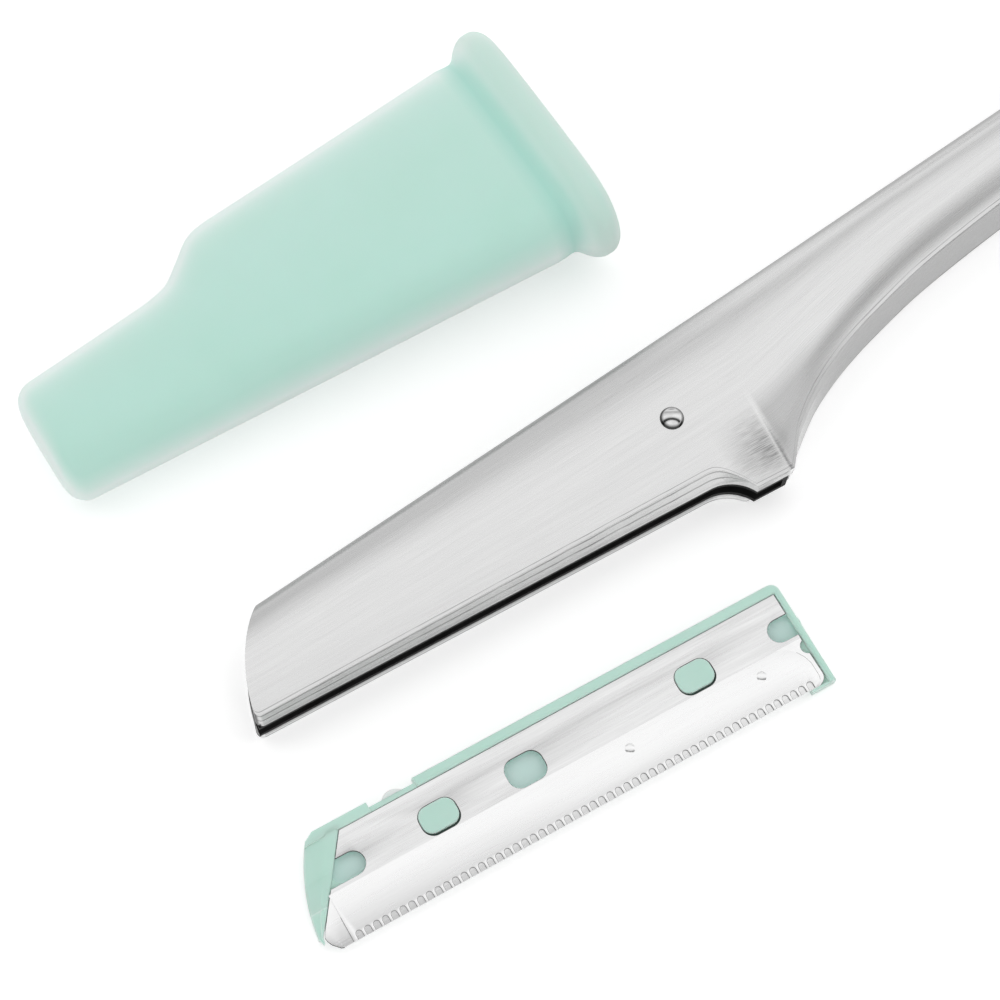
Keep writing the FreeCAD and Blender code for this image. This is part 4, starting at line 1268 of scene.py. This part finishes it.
NUB_RADIUS = 1.16
NUB_ARC = (30, 150)
NUB_POINTS = 13
NUB_LOW = -0.3
NUB_HIGH = 0.42
NUB_ROUND = 0.1


def box_outline(left, low, right, high):
    return [(left, low), (right, low), (right, high), (left, high)]


def add_holder_plate(shape, top_left, corner):
    """The holder's plate, with the floor in its pockets painted a paler mint, as light that lifts their
    shade.
    """
    rim = [(wall_outside(y), y) for y in spread(WALL_UPPER, WALL_LOWER, WALL_POINTS)]
    rim += [(blade_left(PLATE_LOWER), PLATE_LOWER), (TAB_START, PLATE_LOWER), (TAB_START, TAB_LOWER),
            (UNIT_END, TAB_LOWER)] + corner
    rim += [(SNAP_RIGHT, UNIT_TOP), (SNAP_RIGHT, SNAP_FLOOR), (SNAP_LEFT, SNAP_FLOOR), (SNAP_LEFT, UNIT_TOP)]
    rim.append(top_left)
    add_prism(shape, [rim], -UNIT_HALF, RECESS_FLOOR - SKIN, 0.0, UNIT)
    # The pocket floors' top is painted paler, as light in the pockets.
    add_prism(shape, [rim], RECESS_FLOOR - SKIN, RECESS_FLOOR, 0.0, UNIT, POCKET_LIT, side=0)
    wide, tall = HOLE_SIZE[0] + 2 * UNDERCUT, HOLE_SIZE[1] + 2 * UNDERCUT
    turn = HOLE_CORNER + UNDERCUT
    pockets = [rounded_box((OPEN_HOLE, HOLE_HEIGHT), wide, tall, turn)]
    for x in NOTCH_POCKETS:
        pockets.append(rounded_box((x, HOLE_HEIGHT), POCKET_WIDTH, tall - POCKET_INSET, turn))
    add_prism(shape, [rim] + pockets, RECESS_FLOOR, PLATE_TOP, 0.0, UNIT)


def make_holder():
    """The mint holder: a plate with pockets, an end wall, a stepped rib, an end strip, studs and a snap,
    with painted light on the pocket floors and painted shade in the gaps round the studs.
    """
    shape = bmesh.new()
    corner = arc_points((UNIT_END - CORNER, UNIT_TOP - CORNER), CORNER, 0, 90, CORNER_STEPS)
    top_left = (wall_outside(WALL_UPPER) + CORNER, UNIT_TOP)
    add_holder_plate(shape, top_left, corner)
    strip = [(STRIP_START, TAB_LOWER), (UNIT_END, TAB_LOWER)] + corner
    strip += [(SNAP_RIGHT, UNIT_TOP), (SNAP_RIGHT, RIB_LEVEL), (STRIP_START, RIB_LEVEL)]
    add_prism(shape, [strip], PLATE_TOP, UNIT_HALF, STRIP_ROUND, UNIT)
    tab = box_outline(TAB_START, TAB_LOWER, STRIP_START + TAB_LAP, EDGE - TAB_GAP)
    add_prism(shape, [tab], PLATE_TOP, BLADE_TOP, TAB_ROUND, UNIT)
    snap = box_outline(SNAP_LEFT - SNAP_LAP, RIB_LEVEL, SNAP_RIGHT + SNAP_LAP, SNAP_FLOOR)
    add_prism(shape, [snap], PLATE_TOP, SNAP_TOP, SNAP_ROUND, UNIT)
    rib = [top_left, (wall_outside(WALL_UPPER) + RIB_INSET, WALL_UPPER),
           (wall_outside(RIB_LEVEL), RIB_LEVEL), (blade_left(RIB_LOWER) - BLADE_FIT, RIB_LEVEL),
           (SNAP_LEFT, RIB_LEVEL), (SNAP_LEFT, UNIT_TOP)]
    add_prism(shape, [rib], PLATE_TOP, UNIT_HALF, RIB_ROUND, UNIT)
    add_end_wall(shape)
    for x in STUD_PLACES:
        hole = rounded_box((x, HOLE_HEIGHT), *HOLE_SIZE, HOLE_CORNER)
        # A dark plate in the hole paints the shade of the gap round the stud.
        add_prism(shape, [hole], PLATE_TOP, PLATE_TOP + GAP_RISE, 0.0, UNIT, STUD_GAP_SHADE)
        stud = rounded_box((x, STUD_HEIGHT), *STUD_SIZE, STUD_CORNER)
        add_prism(shape, [stud], PLATE_TOP, STUD_TOP, STUD_ROUND, UNIT)
    nub = arc_points(NUB_CENTRE, NUB_RADIUS, *NUB_ARC, NUB_POINTS)
    add_prism(shape, [nub], NUB_LOW, NUB_HIGH, NUB_ROUND, UNIT, NUB)
    piece = finish_shape("holder", shape, [UNIT_MINT, NUB_CLEAR, POCKET_LIT_MINT, STUD_GAP_SHADE_MINT])
    piece.visible_glossy = False
    return stand_for(piece, "blade_holder", "cartridge")


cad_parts["slot_liner"].data.materials.clear()
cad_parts["slot_liner"].data.materials.append(LINER_BLACK)
make_holder()
make_blade()
make_guard()
make_handle()
make_pin()
make_cap()


# Table, light and camera

TABLE_REACH = 3.0
TABLE_TONE = grey(0.8)
TABLE_GLOW = 0.45
WHITE = grey(1.0)
AWAY = (0.4987, 0.8668, 0.0)
DOME_STOPS = [(-1.0, 1.3), (-0.65, 1.2), (-0.54, 0.85), (-0.45, 0.08), (-0.24, 0.08), (-0.1, 0.8),
              (0.0, 1.12), (0.28, 1.25), (0.45, 1.15), (0.6, 0.95), (0.7, 0.76), (0.78, 0.76), (0.85, 1.15),
              (0.93, 1.2), (0.97, 0.7), (1.0, 0.4)]
CAMERA_PLACE = Vector((-0.09516, -0.09285, 0.2175))
CAMERA_TARGET = Vector((-0.04456, -0.00492, 0.0))
CAMERA_LENS = 103.68
CAMERA_SENSOR = 36.0
CAMERA_NEAR = 0.01


def directly_seen(tree):
    """A mask of the rays that show a surface: to the eye, in reflections and through clear pieces."""
    path = add_node(tree, "ShaderNodeLightPath").outputs
    seen = path["Is Camera Ray"]
    for label in ("Is Glossy Ray", "Is Transmission Ray"):
        seen = work_out(tree, "MAXIMUM", seen, path[label])
    return seen


def make_table():
    """A white table that is plain white to the eye and in reflections, and still takes the shadows."""
    mesh = bpy.data.meshes.new("table")
    corners = box_outline(-TABLE_REACH, -TABLE_REACH, TABLE_REACH, TABLE_REACH)
    mesh.from_pydata([(x, y, 0.0) for x, y in corners], [], [(0, 1, 2, 3)])
    material = bpy.data.materials.new("table white")
    material.use_nodes = True
    tree = material.node_tree
    tree.nodes.clear()
    paper = add_node(tree, "ShaderNodeBsdfDiffuse", inputs={"Color": TABLE_TONE})
    glow = add_node(tree, "ShaderNodeEmission", inputs={
        "Color": WHITE, "Strength": multiply(tree, directly_seen(tree), TABLE_GLOW)})
    both = add_node(tree, "ShaderNodeAddShader", inputs={0: paper.outputs[0], 1: glow.outputs[0]})
    add_node(tree, "ShaderNodeOutputMaterial", inputs={"Surface": both.outputs[0]})
    mesh.materials.append(material)
    table = link_mesh("table", mesh)


def make_world():
    """A studio dome, banded from front to back: bright overhead, and shaded at the camera's side."""
    world = bpy.data.worlds.new("studio dome")
    bpy.context.scene.world = world
    world.use_nodes = True
    tree = world.node_tree
    tree.nodes.clear()
    coordinates = add_node(tree, "ShaderNodeTexCoord")
    depth = dot_product(tree, coordinates.outputs["Generated"], AWAY)
    stops = [((place + 1.0) / 2, level) for place, level in DOME_STOPS]
    dome = tone_ramp(tree, remap(tree, depth, -1.0, 1.0), stops)
    seen = add_node(tree, "ShaderNodeLightPath").outputs["Is Camera Ray"]
    background = add_node(tree, "ShaderNodeBackground", inputs={
        "Color": blend_colour(tree, dome, WHITE, seen), "Strength": 1.0})
    add_node(tree, "ShaderNodeOutputWorld", inputs={"Surface": background.outputs[0]})


def make_camera():
    """The camera at the photograph's viewing angle."""
    data = bpy.data.cameras.new("camera")
    data.lens = CAMERA_LENS
    data.sensor_width = CAMERA_SENSOR
    data.clip_start = CAMERA_NEAR
    camera = bpy.data.objects.new("camera", data)
    camera.location = CAMERA_PLACE
    camera.rotation_euler = (CAMERA_TARGET - CAMERA_PLACE).to_track_quat("-Z", "Y").to_euler()
    bpy.context.scene.collection.objects.link(camera)
    bpy.context.scene.camera = camera


make_table()
make_world()
make_camera()
bpy.context.scene.view_settings.view_transform = "Standard"
